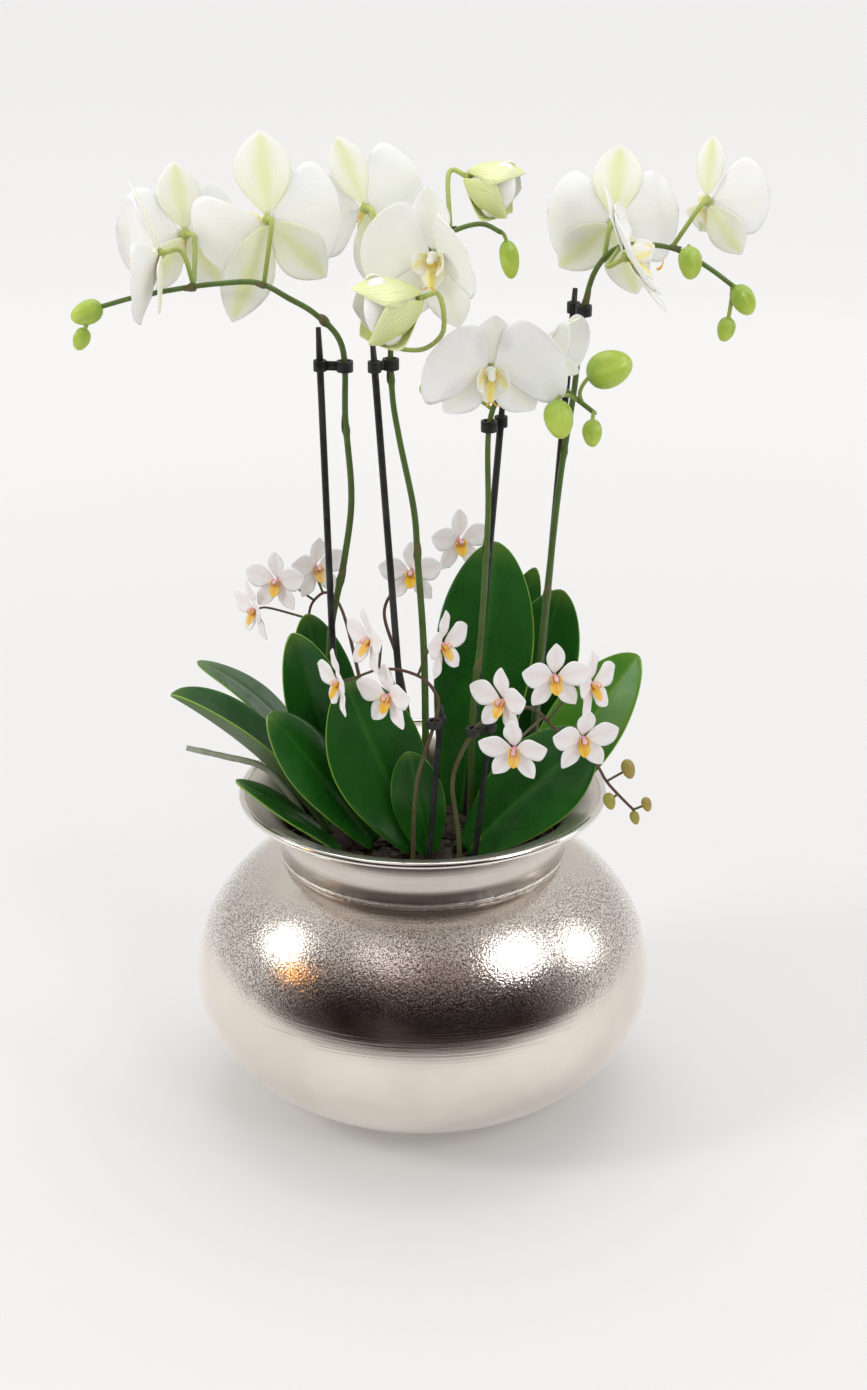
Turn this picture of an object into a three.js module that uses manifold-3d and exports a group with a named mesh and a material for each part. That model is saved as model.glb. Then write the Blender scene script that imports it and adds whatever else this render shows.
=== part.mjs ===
// Potted moth orchids: a metal urn of bark with four tall flower spikes, four short ones, leaves, stakes and clips.
// Millimetres, +Z up, origin at the middle of the urn's flat base; the front of the arrangement faces -Y.
import * as THREE from "three";
import { mergeVertices } from "three/addons/utils/BufferGeometryUtils.js";
import Module from "manifold-3d";

// ---- Driving dimensions ----
const GAP = 0.3; // between pieces that touch
const ROUND = 36; // flats round the urn
const POT = {
  wide: 150, // largest radius of the bowl
  waist: 87, // height of that radius
  below: 96, // half-height of the lower ellipse
  above: 109, // half-height of the upper ellipse
  throat: 92.7, // radius at the seam
  rim: 119.5, // radius at the lip
  top: 215, // height of the lip
  wall: 3,
};
const SOIL = { edge: 178, middle: 184, depth: 118 }; // bark level, and how deep stems and stakes go
const STAKE = 2.2; // radius of a tall stake
const SMALL_STAKE = 1.8;
const PETAL = 0.9; // thickness of a petal
const LEAF = 1.8; // thickness of a leaf

const radians = THREE.MathUtils.degToRad;
const seam = POT.waist + POT.above * Math.sin(Math.acos(POT.throat / POT.wide));
const at = (x, y, z) => new THREE.Vector3(x, y, z);

// ---- Joining and cutting ----
const solids = await Module();
solids.setup();

function toSolid(geometry) {
  const bare = new THREE.BufferGeometry();
  const open = geometry.index ? geometry.toNonIndexed() : geometry;
  bare.setAttribute("position", open.getAttribute("position"));
  const merged = mergeVertices(bare, 1e-4);
  return new solids.Manifold(
    new solids.Mesh({
      numProp: 3,
      vertProperties: merged.getAttribute("position").array,
      triVerts: new Uint32Array(merged.index.array),
    }),
  );
}

function toGeometry(solid) {
  const mesh = solid.getMesh();
  const geometry = new THREE.BufferGeometry();
  geometry.setAttribute("position", new THREE.BufferAttribute(mesh.vertProperties, 3));
  geometry.setIndex(new THREE.BufferAttribute(mesh.triVerts, 1));
  geometry.computeVertexNormals();
  return geometry;
}

// Joins the pieces; a pocket too small to see, left where thin faces cross, is filled.
function fuse(pieces) {
  const joined = pieces.map(toSolid).reduce((all, piece) => all.add(piece));
  const real = joined.decompose().filter((body) => Math.abs(body.volume()) > 0.5);
  return toGeometry(real.reduce((all, body) => all.add(body)));
}

function cut(body, tools) {
  return toGeometry(tools.map(toSolid).reduce((left, tool) => left.subtract(tool), toSolid(body)));
}

// ---- Basic shapes ----
// Half-width of a leaf or petal at v (0 base, 1 tip), as a share of its widest half-width.
function outline(v, { neck, peak, full, blunt }) {
  if (v < peak) return neck + (1 - neck) * Math.sin((Math.PI / 2) * (v / peak)) ** full;
  return Math.max(0.07, Math.cos((Math.PI / 2) * ((v - peak) / (1 - peak))) ** blunt);
}

// A thin leaf or petal from the origin along +Y, upper face towards +Z; rise, curl, twist and roll in degrees.
function blade(options) {
  const o = {
    thick: PETAL, across: 2, along: 4, rise: 0, curl: 0, twist: 0,
    fold: 0, cup: 0, neck: 0.25, peak: 0.55, full: 1, blunt: 0.6, start: 0, ...options,
  };
  const shape = new THREE.BoxGeometry(2, 1, 1, o.across, o.along, 1);
  const place = shape.getAttribute("position");
  const rise = radians(o.rise);
  const curl = radians(o.curl) || 1e-4;
  for (let i = 0; i < place.count; i += 1) {
    const u = place.getX(i);
    const v = place.getY(i) + 0.5;
    const half = (o.width / 2) * outline(v, o);
    const pitch = rise + curl * v;
    const lift = o.fold * Math.abs(u) * half + o.cup * u * u * half + place.getZ(i) * o.thick;
    const turn = radians(o.twist) * v;
    const side = u * half * Math.cos(turn) - lift * Math.sin(turn);
    const up = u * half * Math.sin(turn) + lift * Math.cos(turn);
    const along = (o.length / curl) * (Math.sin(pitch) - Math.sin(rise));
    const climb = (o.length / curl) * (Math.cos(rise) - Math.cos(pitch));
    place.setXYZ(i, side, along - up * Math.sin(pitch), climb + up * Math.cos(pitch));
  }
  return shape.translate(0, o.start, 0);
}

// A leaf whose straight line from base to tip is given; bow is the angle it bends through, negative arching over.
function leafBetween(base, tip, options) {
  const run = tip.clone().sub(base);
  const chord = run.length();
  const half = radians(options.bow || 1e-3) / 2;
  const shape = blade({
    thick: LEAF, across: 4, along: 6, neck: 0.3, peak: 0.6, blunt: 0.55, ...options,
    length: (chord * half) / Math.sin(half),
    rise: THREE.MathUtils.radToDeg(-half),
    curl: THREE.MathUtils.radToDeg(2 * half),
  });
  shape.rotateY(radians(options.roll || 0));
  shape.rotateX(Math.asin(run.z / chord));
  shape.rotateZ(Math.atan2(run.y, run.x) - Math.PI / 2);
  return shape.translate(base.x, base.y, base.z);
}

// A round stem along a smooth curve through the points, its radius going evenly from thick to thin.
function stem(points, thick, thin, { sides = 6, steps = 12, grow = 0, rings = [] } = {}) {
  const curve = new THREE.CatmullRomCurve3(points, false, "centripetal");
  const frames = curve.computeFrenetFrames(steps, false);
  const shape = new THREE.CylinderGeometry(1, 1, 1, sides, steps);
  const place = shape.getAttribute("position");
  const spot = new THREE.Vector3();
  for (let i = 0; i < place.count; i += 1) {
    const v = place.getY(i) + 0.5;
    const row = Math.round(v * steps);
    const radius = (thick + (thin - thick) * v) * (rings.includes(row) ? 1.5 : 1) + grow;
    curve.getPointAt(v, spot);
    spot.addScaledVector(frames.normals[row], place.getX(i) * radius);
    spot.addScaledVector(frames.binormals[row], -place.getZ(i) * radius);
    if (row === 0) spot.addScaledVector(frames.tangents[0], -grow);
    place.setXYZ(i, spot.x, spot.y, spot.z);
  }
  return shape;
}

// A bud or a knob: a ball stretched along its own axis, pointing along the given direction.
function bud(centre, radius, stretch = 1.2, towards = at(0, 0, 1), sides = 7, rings = 5) {
  const shape = new THREE.SphereGeometry(radius, sides, rings);
  shape.scale(1, stretch, 1);
  const turn = new THREE.Quaternion().setFromUnitVectors(at(0, 1, 0), towards.clone().normalize());
  shape.applyQuaternion(turn);
  return shape.translate(centre.x, centre.y, centre.z);
}

function turned(profile, flats = ROUND) {
  const shape = new THREE.LatheGeometry(profile.map(([r, z]) => new THREE.Vector2(r, z)), flats);
  return shape.rotateX(Math.PI / 2);
}

// ---- Finishes ----
const finish = (color, roughness, metalness = 0) => ({ color, roughness, metalness });
const METAL = finish(0xb4a79a, 0.32, 1);
const BRUSHED = finish(0xa89f96, 0.4, 1);
const BARK = finish(0x4a3426, 0.95);
const LEAF_GREEN = finish(0x2f5a2b, 0.4);
const STEM_GREEN = finish(0x5f7f35, 0.5);
const SMALL_STEM = finish(0x6d6a3a, 0.55);
const ROOT = finish(0x8f9683, 0.8);
const WHITE = finish(0xf4f1e6, 0.6);
const CREAM = finish(0xf0ecc8, 0.6);
const SMALL_WHITE = finish(0xf3e6e2, 0.6);
const BLACK = finish(0x161616, 0.45);

const group = new THREE.Group();
group.name = "potted_orchid";

function piece(name, geometry, look, parent = group) {
  const mesh = new THREE.Mesh(geometry, new THREE.MeshStandardMaterial(look));
  mesh.name = name;
  parent.add(mesh);
  return mesh;
}

// ---- Urn and bark ----
function arc(wide, reach, start, end, steps) {
  const points = [];
  for (let i = 0; i <= steps; i += 1) {
    const angle = start + ((end - start) * i) / steps;
    points.push([wide * Math.cos(angle), POT.waist + reach * Math.sin(angle)]);
  }
  return points;
}

function bowlProfile(inset, floor, steps = 4) {
  const wide = POT.wide - inset;
  const below = POT.below - inset;
  const above = POT.above - inset;
  const low = -Math.asin((POT.waist - floor) / below);
  const high = Math.asin((seam - POT.waist) / above);
  return [[0, floor], ...arc(wide, below, low, 0, steps), ...arc(wide, above, 0, high, steps).slice(1)];
}

function potBowl() {
  const outside = bowlProfile(0, 0);
  const inside = bowlProfile(POT.wall, POT.wall).reverse();
  return turned([...outside, ...inside]);
}

function potCollar() {
  const start = seam + GAP;
  const outside = [
    [POT.throat, start], [POT.throat + 2.4, start + 1.2], [POT.throat + 2.6, start + 3.4], [POT.throat + 0.4, start + 5],
  ];
  const inside = [];
  const straight = start + 14;
  for (let i = 0; i <= 4; i += 1) {
    const share = i / 4;
    const z = straight + (POT.top - 1.6 - straight) * Math.sin((Math.PI / 2) * share);
    const r = POT.throat + (POT.rim - 1.6 - POT.throat) * (1 - Math.cos((Math.PI / 2) * share));
    outside.push([r, z]);
    inside.unshift([r - POT.wall, z + 0.8 * share]);
  }
  const lip = [[POT.rim, POT.top - 2.2], [POT.rim, POT.top - 0.6], [POT.rim - 1.4, POT.top], [POT.rim - 3.2, POT.top]];
  const foot = [POT.throat - POT.wall, start];
  return turned([...outside, ...lip, ...inside, foot, outside[0]]);
}

// ---- Flowers ----
const TEPAL = { dorsal: [46, 33], lateral: [46, 29], petal: [44, 58] }; // length and width of a full-size flower
const RECEPTACLE = 4.2;

// Facing +Z with its top towards +Y; each side can be turned, raised or folded for the way it hangs.
function bigFlower(options) {
  const o = {
    size: 1, open: 8, curl: 10, left: {}, right: {}, top: {}, lowLeft: {}, lowRight: {}, lip: true, ...options,
  };
  const tepal = ([length, width], angle, lift, own, shape) => {
    const made = blade({
      rise: o.open, curl: o.curl, along: 3, ...shape, ...own,
      length: (own.length ?? length) * o.size,
      width: (own.width ?? width) * o.size,
    });
    made.rotateZ(radians((own.angle ?? angle) - 90));
    return made.translate(0, 0, lift);
  };
  const sepal = { neck: 0.08, peak: 0.55, blunt: 0.75, cup: 0.1, start: 2.8 };
  const wing = { neck: 0.05, peak: 0.62, blunt: 0.5, cup: 0.12, start: 2.8 };
  const parts = [
    new THREE.SphereGeometry(RECEPTACLE, 6, 3),
    tepal(TEPAL.dorsal, 90, -1.3, o.top, sepal),
    tepal(TEPAL.lateral, 232, -1.3, o.lowLeft, sepal),
    tepal(TEPAL.lateral, 308, -1.3, o.lowRight, sepal),
    tepal(TEPAL.petal, 172, 1.2, o.left, wing),
    tepal(TEPAL.petal, 8, 1.2, o.right, wing),
  ];
  if (o.lip) parts.push(...lipAndColumn(o.size));
  return fuse(parts);
}

function lipAndColumn(size) {
  const column = stem([at(0, 0, 1), at(0, 0, 5 * size), at(0, 0, 10 * size)], 1.7, 2.6 * size, { steps: 1, sides: 5 });
  const middle = blade({ length: 21 * size, width: 16 * size, rise: 48, curl: -54, neck: 0.25, peak: 0.5, along: 2, start: 2.2 });
  middle.rotateZ(Math.PI);
  const lobes = [-1, 1].map((side) => {
    const lobe = blade({
      length: 20 * size, width: 15 * size, rise: 42, curl: 48, neck: 0.16, peak: 0.6, along: 2, across: 1, start: 2.2,
    });
    lobe.rotateZ(side * radians(108));
    return lobe;
  });
  return [column, middle, ...lobes];
}

// A small flower about 45 mm across.
function smallFlower(size = 1, open = 16) {
  const parts = [new THREE.SphereGeometry(2.6, 5, 3)];
  [90, 162, 18, 234, 306].forEach((angle, i) => {
    const side = i === 1 || i === 2;
    const tepal = blade({
      length: 21 * size, width: (side ? 17 : 11.5) * size, across: 1, along: 3, rise: open, curl: -12, neck: 0.07,
      blunt: 0.7, start: 1.5,
    });
    parts.push(tepal.rotateZ(radians(angle - 90)).translate(0, 0, side ? 1.1 : -0.9));
  });
  const lip = blade({ length: 12 * size, width: 8 * size, thick: 1.2, along: 1, across: 1, rise: 58, neck: 0.2, blunt: 0.3, start: 0.6 });
  parts.push(lip.rotateZ(Math.PI));
  return fuse(parts);
}

// Where a flower stands: turn 0 faces the front, 90 the right; nod tips it down; roll spins it about its face.
function stance({ centre, turn = 0, nod = 10, roll = 0 }) {
  const matrix = new THREE.Matrix4().makeRotationZ(radians(turn));
  matrix.multiply(new THREE.Matrix4().makeRotationX(radians(90 + nod)));
  matrix.multiply(new THREE.Matrix4().makeRotationZ(radians(roll)));
  return matrix.setPosition(centre);
}

function behind(flower, distance) {
  return at(0, 0, -distance).applyMatrix4(stance(flower));
}

// ---- The tall spikes ----
const HALF_OPEN = { open: 32, curl: 75 };
const SPIKES = {
  left: {
    stake: [at(-53, 25, SOIL.depth), at(-64, 25, 512)],
    clip: 488,
    base: 2.7,
    path: [
      at(-60, 31, SOIL.depth), at(-60, 31, 305), at(-50, 30, 360), at(-45, 28, 400), at(-48, 25, 453), at(-50, 21, 503),
      at(-65, 9, 524), at(-80, -2, 536), at(-98, -9, 547), at(-122, -11, 547), at(-145, -11, 544), at(-172, -12, 539),
      at(-194, -13, 533),
    ],
    joints: [9, 13, 16],
    buds: [{ centre: at(-201, -13, 530), radius: 8.5, towards: at(-1, 0, -0.4) },
      { centre: at(-205, -14, 514), radius: 6, towards: at(-0.4, 0, -1) }],
    flowers: [
      {
        centre: at(-93, 12, 581), turn: -165, nod: 8, size: 1.1, foot: at(-96, -9, 546),
        right: { angle: -34, rise: 40, length: 47 }, left: { angle: 178, rise: 6, length: 42 }, lowRight: { angle: 290, length: 58 },
        lowLeft: { angle: 225 },
      },
      {
        centre: at(-157, -11, 565), turn: -77, nod: 7, size: 0.98, foot: at(-138, -11, 545),
        right: { angle: -27, rise: 25 }, top: { width: 28, rise: 10 }, lowLeft: { angle: 216 }, lowRight: { angle: 327 },
      },
      { centre: at(-147, 50, 565), turn: -150, nod: 5, size: 0.9, foot: at(-136, -11, 546) },
    ],
  },
  middle: {
    stake: [at(-3, -8, SOIL.depth), at(-30, -6, 512)],
    clip: 495,
    base: 2.7,
    path: [
      at(2, 8, SOIL.depth), at(1, 7, 301), at(-3, 6, 368), at(-5, 5, 399), at(-14, 5, 446), at(-18, 3, 472), at(-19, 0, 507),
      at(-17, 0, 530), at(-6, 2, 552), at(14, 8, 572), at(36, 14, 578), at(48, 18, 572),
    ],
    joints: [11, 16],
    buds: [{ centre: at(53, 20, 555), radius: 7, stretch: 1.7, towards: at(0.15, 0, -1) }],
    flowers: [
      {
        centre: at(7, -28, 567), turn: -14, nod: 6, size: 0.92, foot: at(-6, 2, 552),
        left: { angle: 157, rise: 14 }, right: { angle: 22, rise: 34, curl: 25 }, lowLeft: { angle: 240, rise: -6 },
        lowRight: { angle: 290, rise: 0 }, top: { width: 25 },
      },
      {
        centre: at(-35, 38, 583), turn: -160, nod: 5, roll: -18, size: 0.95, foot: at(-17, 0, 533), top: { width: 25 },
        right: { rise: 35 }, lowLeft: { angle: 240, width: 18 }, lowRight: { angle: 285, width: 18 },
      },
      {
        centre: at(-3, -54, 547), turn: -75, nod: 14, size: 0.92, foot: at(-19, 0, 507), ...HALF_OPEN, lip: false,
        via: [at(-10, -16, 508), at(4, -42, 516), at(13, -56, 530)],
      },
      { centre: at(30, 40, 601), turn: 78, nod: 20, size: 0.78, foot: at(18, 10, 574), ...HALF_OPEN, lip: false },
    ],
  },
  front: {
    stake: [at(23, 16, SOIL.depth), at(50, 15, 470)],
    clip: 455,
    base: 2.6,
    path: [
      at(30, 5, SOIL.depth), at(33, 5, 273), at(37, 6, 312), at(41, 5, 393), at(43, 4, 464), at(54, 2, 482), at(70, -2, 488),
      at(83, -8, 484), at(95, -14, 476), at(105, -18, 469),
    ],
    joints: [9, 13],
    buds: [
      { centre: at(113, -20, 497), radius: 13, stretch: 1.1, towards: at(1, 0, 0.4) },
      { centre: at(82, -39, 471), radius: 10, towards: at(0.2, -0.6, -1) },
      { centre: at(103, -30, 460), radius: 7, towards: at(0, -0.4, -1) },
      { centre: at(8, 18, 475), radius: 9, stretch: 1.1, towards: at(-1, 0, 0) },
    ],
    flowers: [
      {
        centre: at(41, -26, 498), turn: 6, nod: 20, size: 0.93, foot: at(54, 2, 480), top: { width: 25 },
        left: { angle: 156, width: 66 }, right: { angle: 24, width: 70, length: 47 },
        lowLeft: { angle: 222, length: 38 }, lowRight: { angle: 318, length: 38 },
      },
      { centre: at(76, 18, 503), turn: 68, nod: 8, size: 0.62, foot: at(66, -1, 487), open: 36, curl: 24 },
    ],
  },
  right: {
    stake: [at(66, 40, SOIL.depth), at(95, 45, 532)],
    clip: 520,
    base: 2.7,
    path: [
      at(68, 31, SOIL.depth), at(70, 32, 190), at(81, 37, 342), at(88, 38, 416), at(95, 37, 468), at(101, 36, 526),
      at(108, 34, 548), at(120, 32, 560), at(138, 31, 562), at(156, 30, 559), at(176, 28, 548), at(190, 26, 538),
    ],
    joints: [9, 13, 17],
    buds: [{ centre: at(197, 25, 529), radius: 8.5, towards: at(0.6, 0, -1) },
      { centre: at(187, 24, 511), radius: 6.5, towards: at(-0.2, 0, -1) },
      { centre: at(163, 20, 553), radius: 8.5, towards: at(0.1, 0, -1) }],
    flowers: [
      {
        centre: at(119, 56, 571), turn: 166, nod: 6, size: 0.98, foot: at(112, 33, 554),
        left: { rise: 35 }, right: { angle: 2 }, lowRight: { angle: 320 }, lowLeft: { angle: 252 },
      },
      {
        centre: at(124, 6, 560), turn: 82, nod: -30, size: 0.9, foot: at(120, 32, 560),
        right: { angle: 62, length: 34, width: 30 }, top: { width: 24 }, lowLeft: { angle: 240 },
        lowRight: { angle: 285, length: 34, width: 20 },
      },
      {
        centre: at(175, 46, 586), turn: 162, nod: 4, size: 0.8, foot: at(152, 30, 560),
        right: { rise: 72 }, lowLeft: { angle: 236 }, lowRight: { angle: 292, rise: 50 }, top: { width: 22 },
      },
    ],
  },
};

const MAIN = { sides: 6, steps: 22 };

function tallSpike(spike) {
  const rows = rowsOf(spike.path, MAIN.steps).slice(MAIN.steps * 0.6);
  const parts = [stem(spike.path, spike.base, 1.5, { ...MAIN, rings: spike.joints })];
  for (const flower of spike.flowers) {
    const end = behind(flower, RECEPTACLE + GAP);
    const near = behind(flower, RECEPTACLE + 9);
    const via = flower.via ?? [];
    const foot = nearest(rows, flower.foot ?? via[0] ?? end);
    parts.push(stem([foot, ...via, near, end], 1.5, 1.5, { steps: 4 + 2 * via.length, sides: 5 }));
  }
  for (const { centre, radius, stretch = 1.2, towards } of spike.buds) {
    parts.push(stem([nearest(rows, centre), centre], 1.2, 1.2, { steps: 1, sides: 4 }));
    parts.push(bud(centre, radius, stretch, towards));
  }
  return fuse(parts);
}

// The middles of a stem's rings, which its flats run between.
function rowsOf(points, steps) {
  const curve = new THREE.CatmullRomCurve3(points, false, "centripetal");
  return Array.from({ length: steps + 1 }, (_, row) => curve.getPointAt(row / steps));
}

function nearest(rows, target) {
  return rows.reduce((best, row) => (row.distanceTo(target) < best.distanceTo(target) ? row : best));
}

function heightOn(rows, z) {
  const next = rows.findIndex((row) => row.z > z);
  const [low, high] = [rows[next - 1], rows[next]];
  return low.clone().lerp(high, (z - low.z) / (high.z - low.z));
}

// Two rings and a bridge, hollowed round the stake and the stem.
function clip(stakeAt, stemAt, hold, grip, tall = 7) {
  const ring = (spot, radius, height) =>
    new THREE.CylinderGeometry(radius, radius, height, 8).rotateX(Math.PI / 2).translate(spot.x, spot.y, spot.z);
  const middle = stakeAt.clone().add(stemAt).multiplyScalar(0.5);
  const span = stemAt.clone().sub(stakeAt);
  const bridge = new THREE.BoxGeometry(Math.hypot(span.x, span.y), 2.6, tall)
    .rotateZ(Math.atan2(span.y, span.x))
    .translate(middle.x, middle.y, middle.z);
  const body = fuse([ring(stakeAt, hold + 2.2, tall), ring(stemAt, grip + 1.8, tall), bridge]);
  return cut(body, [ring(stakeAt, hold + 0.5, 3 * tall), ring(stemAt, grip, 3 * tall)]);
}

const bores = [];
for (const [name, spike] of Object.entries(SPIKES)) {
  piece("spike_" + name, tallSpike(spike), STEM_GREEN);
  piece("stake_" + name, stem(spike.stake, STAKE, STAKE, { sides: 8, steps: 1 }), BLACK);
  const stakeAt = heightOn(spike.stake, spike.clip);
  const stemAt = heightOn(rowsOf(spike.path, MAIN.steps), spike.clip);
  piece("clip_" + name, clip(stakeAt, stemAt, STAKE, 3.8), BLACK);
  bores.push(stem(spike.path, spike.base, 1.5, { ...MAIN, grow: GAP }));
  bores.push(stem(spike.stake, STAKE, STAKE, { sides: 8, steps: 1, grow: GAP }));
  spike.flowers.forEach((flower, i) => {
    const holder = new THREE.Group();
    holder.name = "holder_" + name + "_" + (i + 1);
    holder.applyMatrix4(stance(flower));
    group.add(holder);
    piece("flower_" + name + "_" + (i + 1), bigFlower(flower), WHITE, holder);
  });
}

// ---- The short spikes ----
const SMALL = {
  front: {
    path: [at(-7, -57, SOIL.depth), at(-6, -58, 189), at(-3, -60, 245), at(8, -58, 284), at(10, -60, 298), at(2, -66, 314), at(-12, -70, 322), at(-26, -72, 324)],
    stake: [at(-1, -52, SOIL.depth), at(12, -50, 291)],
    clip: 282,
    flowers: [
      { centre: at(-31, -76, 344), turn: -62, nod: 0 }, { centre: at(-50, -74, 316), turn: -66, nod: 6 },
      { centre: at(-20, -84, 311), turn: -40, nod: 6 }, { centre: at(12, -68, 338), turn: 58, nod: 0 },
    ],
    buds: [],
  },
  right: {
    path: [
      at(24, -60, SOIL.depth), at(23, -60, 204), at(19, -60, 245), at(25, -59, 264), at(35, -58, 281), at(52, -62, 293),
      at(68, -68, 296), at(80, -72, 286), at(93, -76, 276), at(107, -80, 264), at(113, -82, 254), at(123, -84, 243), at(130, -85, 236),
    ],
    stake: [at(26, -50, SOIL.depth), at(44, -52, 292)],
    clip: 277,
    flowers: [
      { centre: at(49, -80, 306), turn: -38, nod: 0 }, { centre: at(80, -88, 325), turn: 10, nod: 4 },
      { centre: at(103, -72, 314), turn: 55, nod: 0 }, { centre: at(56, -98, 282), turn: -12, nod: 18 },
      { centre: at(97, -98, 289), turn: 14, nod: 10 },
    ],
    buds: [[at(126, -87, 264), 4.8], [at(115, -88, 243), 4.2], [at(138, -86, 240), 3.6], [at(131, -86, 231), 3.4]],
  },
  left: {
    path: [at(-30, 62, SOIL.depth), at(-32, 64, 190), at(-46, 90, 270), at(-58, 104, 306), at(-66, 107, 311), at(-75, 108, 303), at(-78, 108, 292)],
    flowers: [
      { centre: at(-113, 106, 299), turn: -60, nod: 5 }, { centre: at(-98, 102, 321), turn: -20, nod: 0 },
      { centre: at(-72, 110, 328), turn: 30, nod: 0 },
    ],
    buds: [[at(-84, 108, 278), 3.6]],
  },
  back: {
    path: [at(-2, 66, SOIL.depth), at(-4, 68, 190), at(-16, 88, 265), at(-26, 98, 302), at(-16, 100, 318), at(4, 100, 328), at(18, 100, 332)],
    flowers: [
      { centre: at(-8, 88, 332), turn: -5, nod: 0 }, { centre: at(24, 94, 352), turn: 20, nod: 0 },
    ],
    buds: [],
  },
};

const SLIGHT = { sides: 5, steps: 14 };

function shortSpike(spike) {
  const rows = rowsOf(spike.path, SLIGHT.steps).slice(SLIGHT.steps / 2);
  const parts = [stem(spike.path, 2, 0.9, SLIGHT)];
  for (const flower of spike.flowers) {
    const seat = nearest(rows, flower.centre);
    parts.push(stem([seat, behind(flower, 6), behind(flower, 1.6)], 0.9, 0.7, { steps: 3, sides: 4 }));
    parts.push(smallFlower(flower.size ?? 1).applyMatrix4(stance(flower)));
  }
  for (const [centre, radius] of spike.buds) {
    parts.push(stem([nearest(rows, centre), centre], 0.8, 0.8, { steps: 1, sides: 4 }));
    parts.push(bud(centre, radius, 1.3, at(0.3, -0.3, -1), 6, 4));
  }
  return fuse(parts);
}

for (const [name, spike] of Object.entries(SMALL)) {
  piece("small_spike_" + name, shortSpike(spike), SMALL_WHITE);
  bores.push(stem(spike.path, 2, 0.9, { ...SLIGHT, grow: GAP }));
  if (!spike.stake) continue;
  piece("small_stake_" + name, stem(spike.stake, SMALL_STAKE, SMALL_STAKE, { sides: 8, steps: 1 }), BLACK);
  bores.push(stem(spike.stake, SMALL_STAKE, SMALL_STAKE, { sides: 8, steps: 1, grow: GAP }));
  const stakeAt = heightOn(spike.stake, spike.clip);
  const stemAt = heightOn(rowsOf(spike.path, SLIGHT.steps), spike.clip);
  piece("small_clip_" + name, clip(stakeAt, stemAt, SMALL_STAKE, 3.6, 5), BLACK);
}

// ---- Leaves ----
const LEAVES = [
  { base: at(24, 24, 183.7), tip: at(48, 64, 361), width: 74, bow: 8, peak: 0.62 }, // tall, behind the middle
  { base: at(42, 56, 182.7), tip: at(93, 86, 320), width: 58, bow: 10, roll: 35 },
  { base: at(64, 2, 183.6), tip: at(138, 8, 303), width: 54, bow: -10, fold: 0.2, roll: 45 }, // right
  { base: at(28, -40, 187.4), tip: at(108, -30, 264), width: 58, bow: -16, roll: 50 }, // low, front right
  { base: at(-1, -34, 186.6), tip: at(-49, -29, 300), width: 68, bow: 10, peak: 0.55, roll: -50 }, // broad, front left
  { base: at(5, -43, 184.3), tip: at(-9, -40, 256), width: 34, bow: 6, peak: 0.55, roll: -75 }, // small, front
  { base: at(-30, -26, 186), tip: at(-97, -34, 279), width: 46, bow: -8, roll: -40 }, // long, left
  { base: at(-42, -4, 184.3), tip: at(-83, 2, 320), width: 42, bow: 8, fold: 0.4, roll: -62 },
  { base: at(-40, 50, 182.7), tip: at(-77, 60, 312), width: 46, bow: 10, roll: -40 },
  { base: at(-66, 44, 180), tip: at(-149, 54, 281), width: 44, bow: -60 }, // arching, upper left
  { base: at(-62, 0, 181.9), tip: at(-161, -4, 280), width: 48, bow: -26, fold: 0.7 }, // folded, left
  { base: at(-50, -38, 182.3), tip: at(-118, -40, 236), width: 34, bow: -20 },
  { base: at(26, 76, 180.9), tip: at(76, 118, 325), width: 32, bow: 6, roll: 40 },
];
LEAVES.forEach((leaf, i) => {
  piece("leaf_" + String(i + 1).padStart(2, "0"), leafBetween(leaf.base, leaf.tip, leaf), LEAF_GREEN);
});

const ROOT_PATH = [at(-68, -16, 181.7), at(-84, -16, 214), at(-102, -16, 235), at(-126, -15, 242), at(-151, -15, 248)];
piece("air_root", stem(ROOT_PATH, 2.6, 1.8, { sides: 6, steps: 8 }), ROOT);

// ---- Bark ----
function barkMix() {
  const side = bowlProfile(POT.wall + GAP, POT.wall + GAP, 2).slice(1);
  const throat = POT.throat - POT.wall - GAP;
  const profile = [[0, POT.wall + GAP], ...side, [throat, SOIL.edge], [throat * 0.55, SOIL.middle - 1.5], [0, SOIL.middle]];
  return cut(turned(profile, ROUND / 2), bores);
}

piece("pot_bowl", potBowl(), METAL);
piece("pot_collar", potCollar(), BRUSHED);
piece("bark_mix", barkMix(), BARK);

export default group;
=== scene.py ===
"""Looks for the potted moth orchids: a metal urn of bark, flower spikes, leaves, stakes and clips.

Lengths in the tables are millimetres in the row frame: origin under the middle of the urn's base,
+Z up, front -Y.
"""

import logging
import math
import random
from collections.abc import Callable, Sequence
from dataclasses import asdict, dataclass, field, replace
from enum import Enum

import bmesh
import bpy
from mathutils import Matrix, Vector, noise


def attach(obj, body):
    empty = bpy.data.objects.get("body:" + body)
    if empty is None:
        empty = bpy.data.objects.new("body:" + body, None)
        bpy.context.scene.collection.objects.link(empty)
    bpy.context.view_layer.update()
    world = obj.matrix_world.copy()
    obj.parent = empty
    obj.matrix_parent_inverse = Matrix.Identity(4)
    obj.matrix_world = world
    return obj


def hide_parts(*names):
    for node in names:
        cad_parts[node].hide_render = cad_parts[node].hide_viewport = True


LOG = logging.getLogger("potted_orchid")
MM = 0.001
GAP = 0.3
Point = tuple[float, float, float]

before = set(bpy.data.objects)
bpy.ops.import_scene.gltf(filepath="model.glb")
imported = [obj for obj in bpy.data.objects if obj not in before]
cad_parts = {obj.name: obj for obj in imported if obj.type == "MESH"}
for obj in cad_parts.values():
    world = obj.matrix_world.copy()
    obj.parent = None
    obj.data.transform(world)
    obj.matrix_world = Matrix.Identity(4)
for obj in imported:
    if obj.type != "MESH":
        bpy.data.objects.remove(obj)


# ---------------------------------------------------------------- curves and frames


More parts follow.
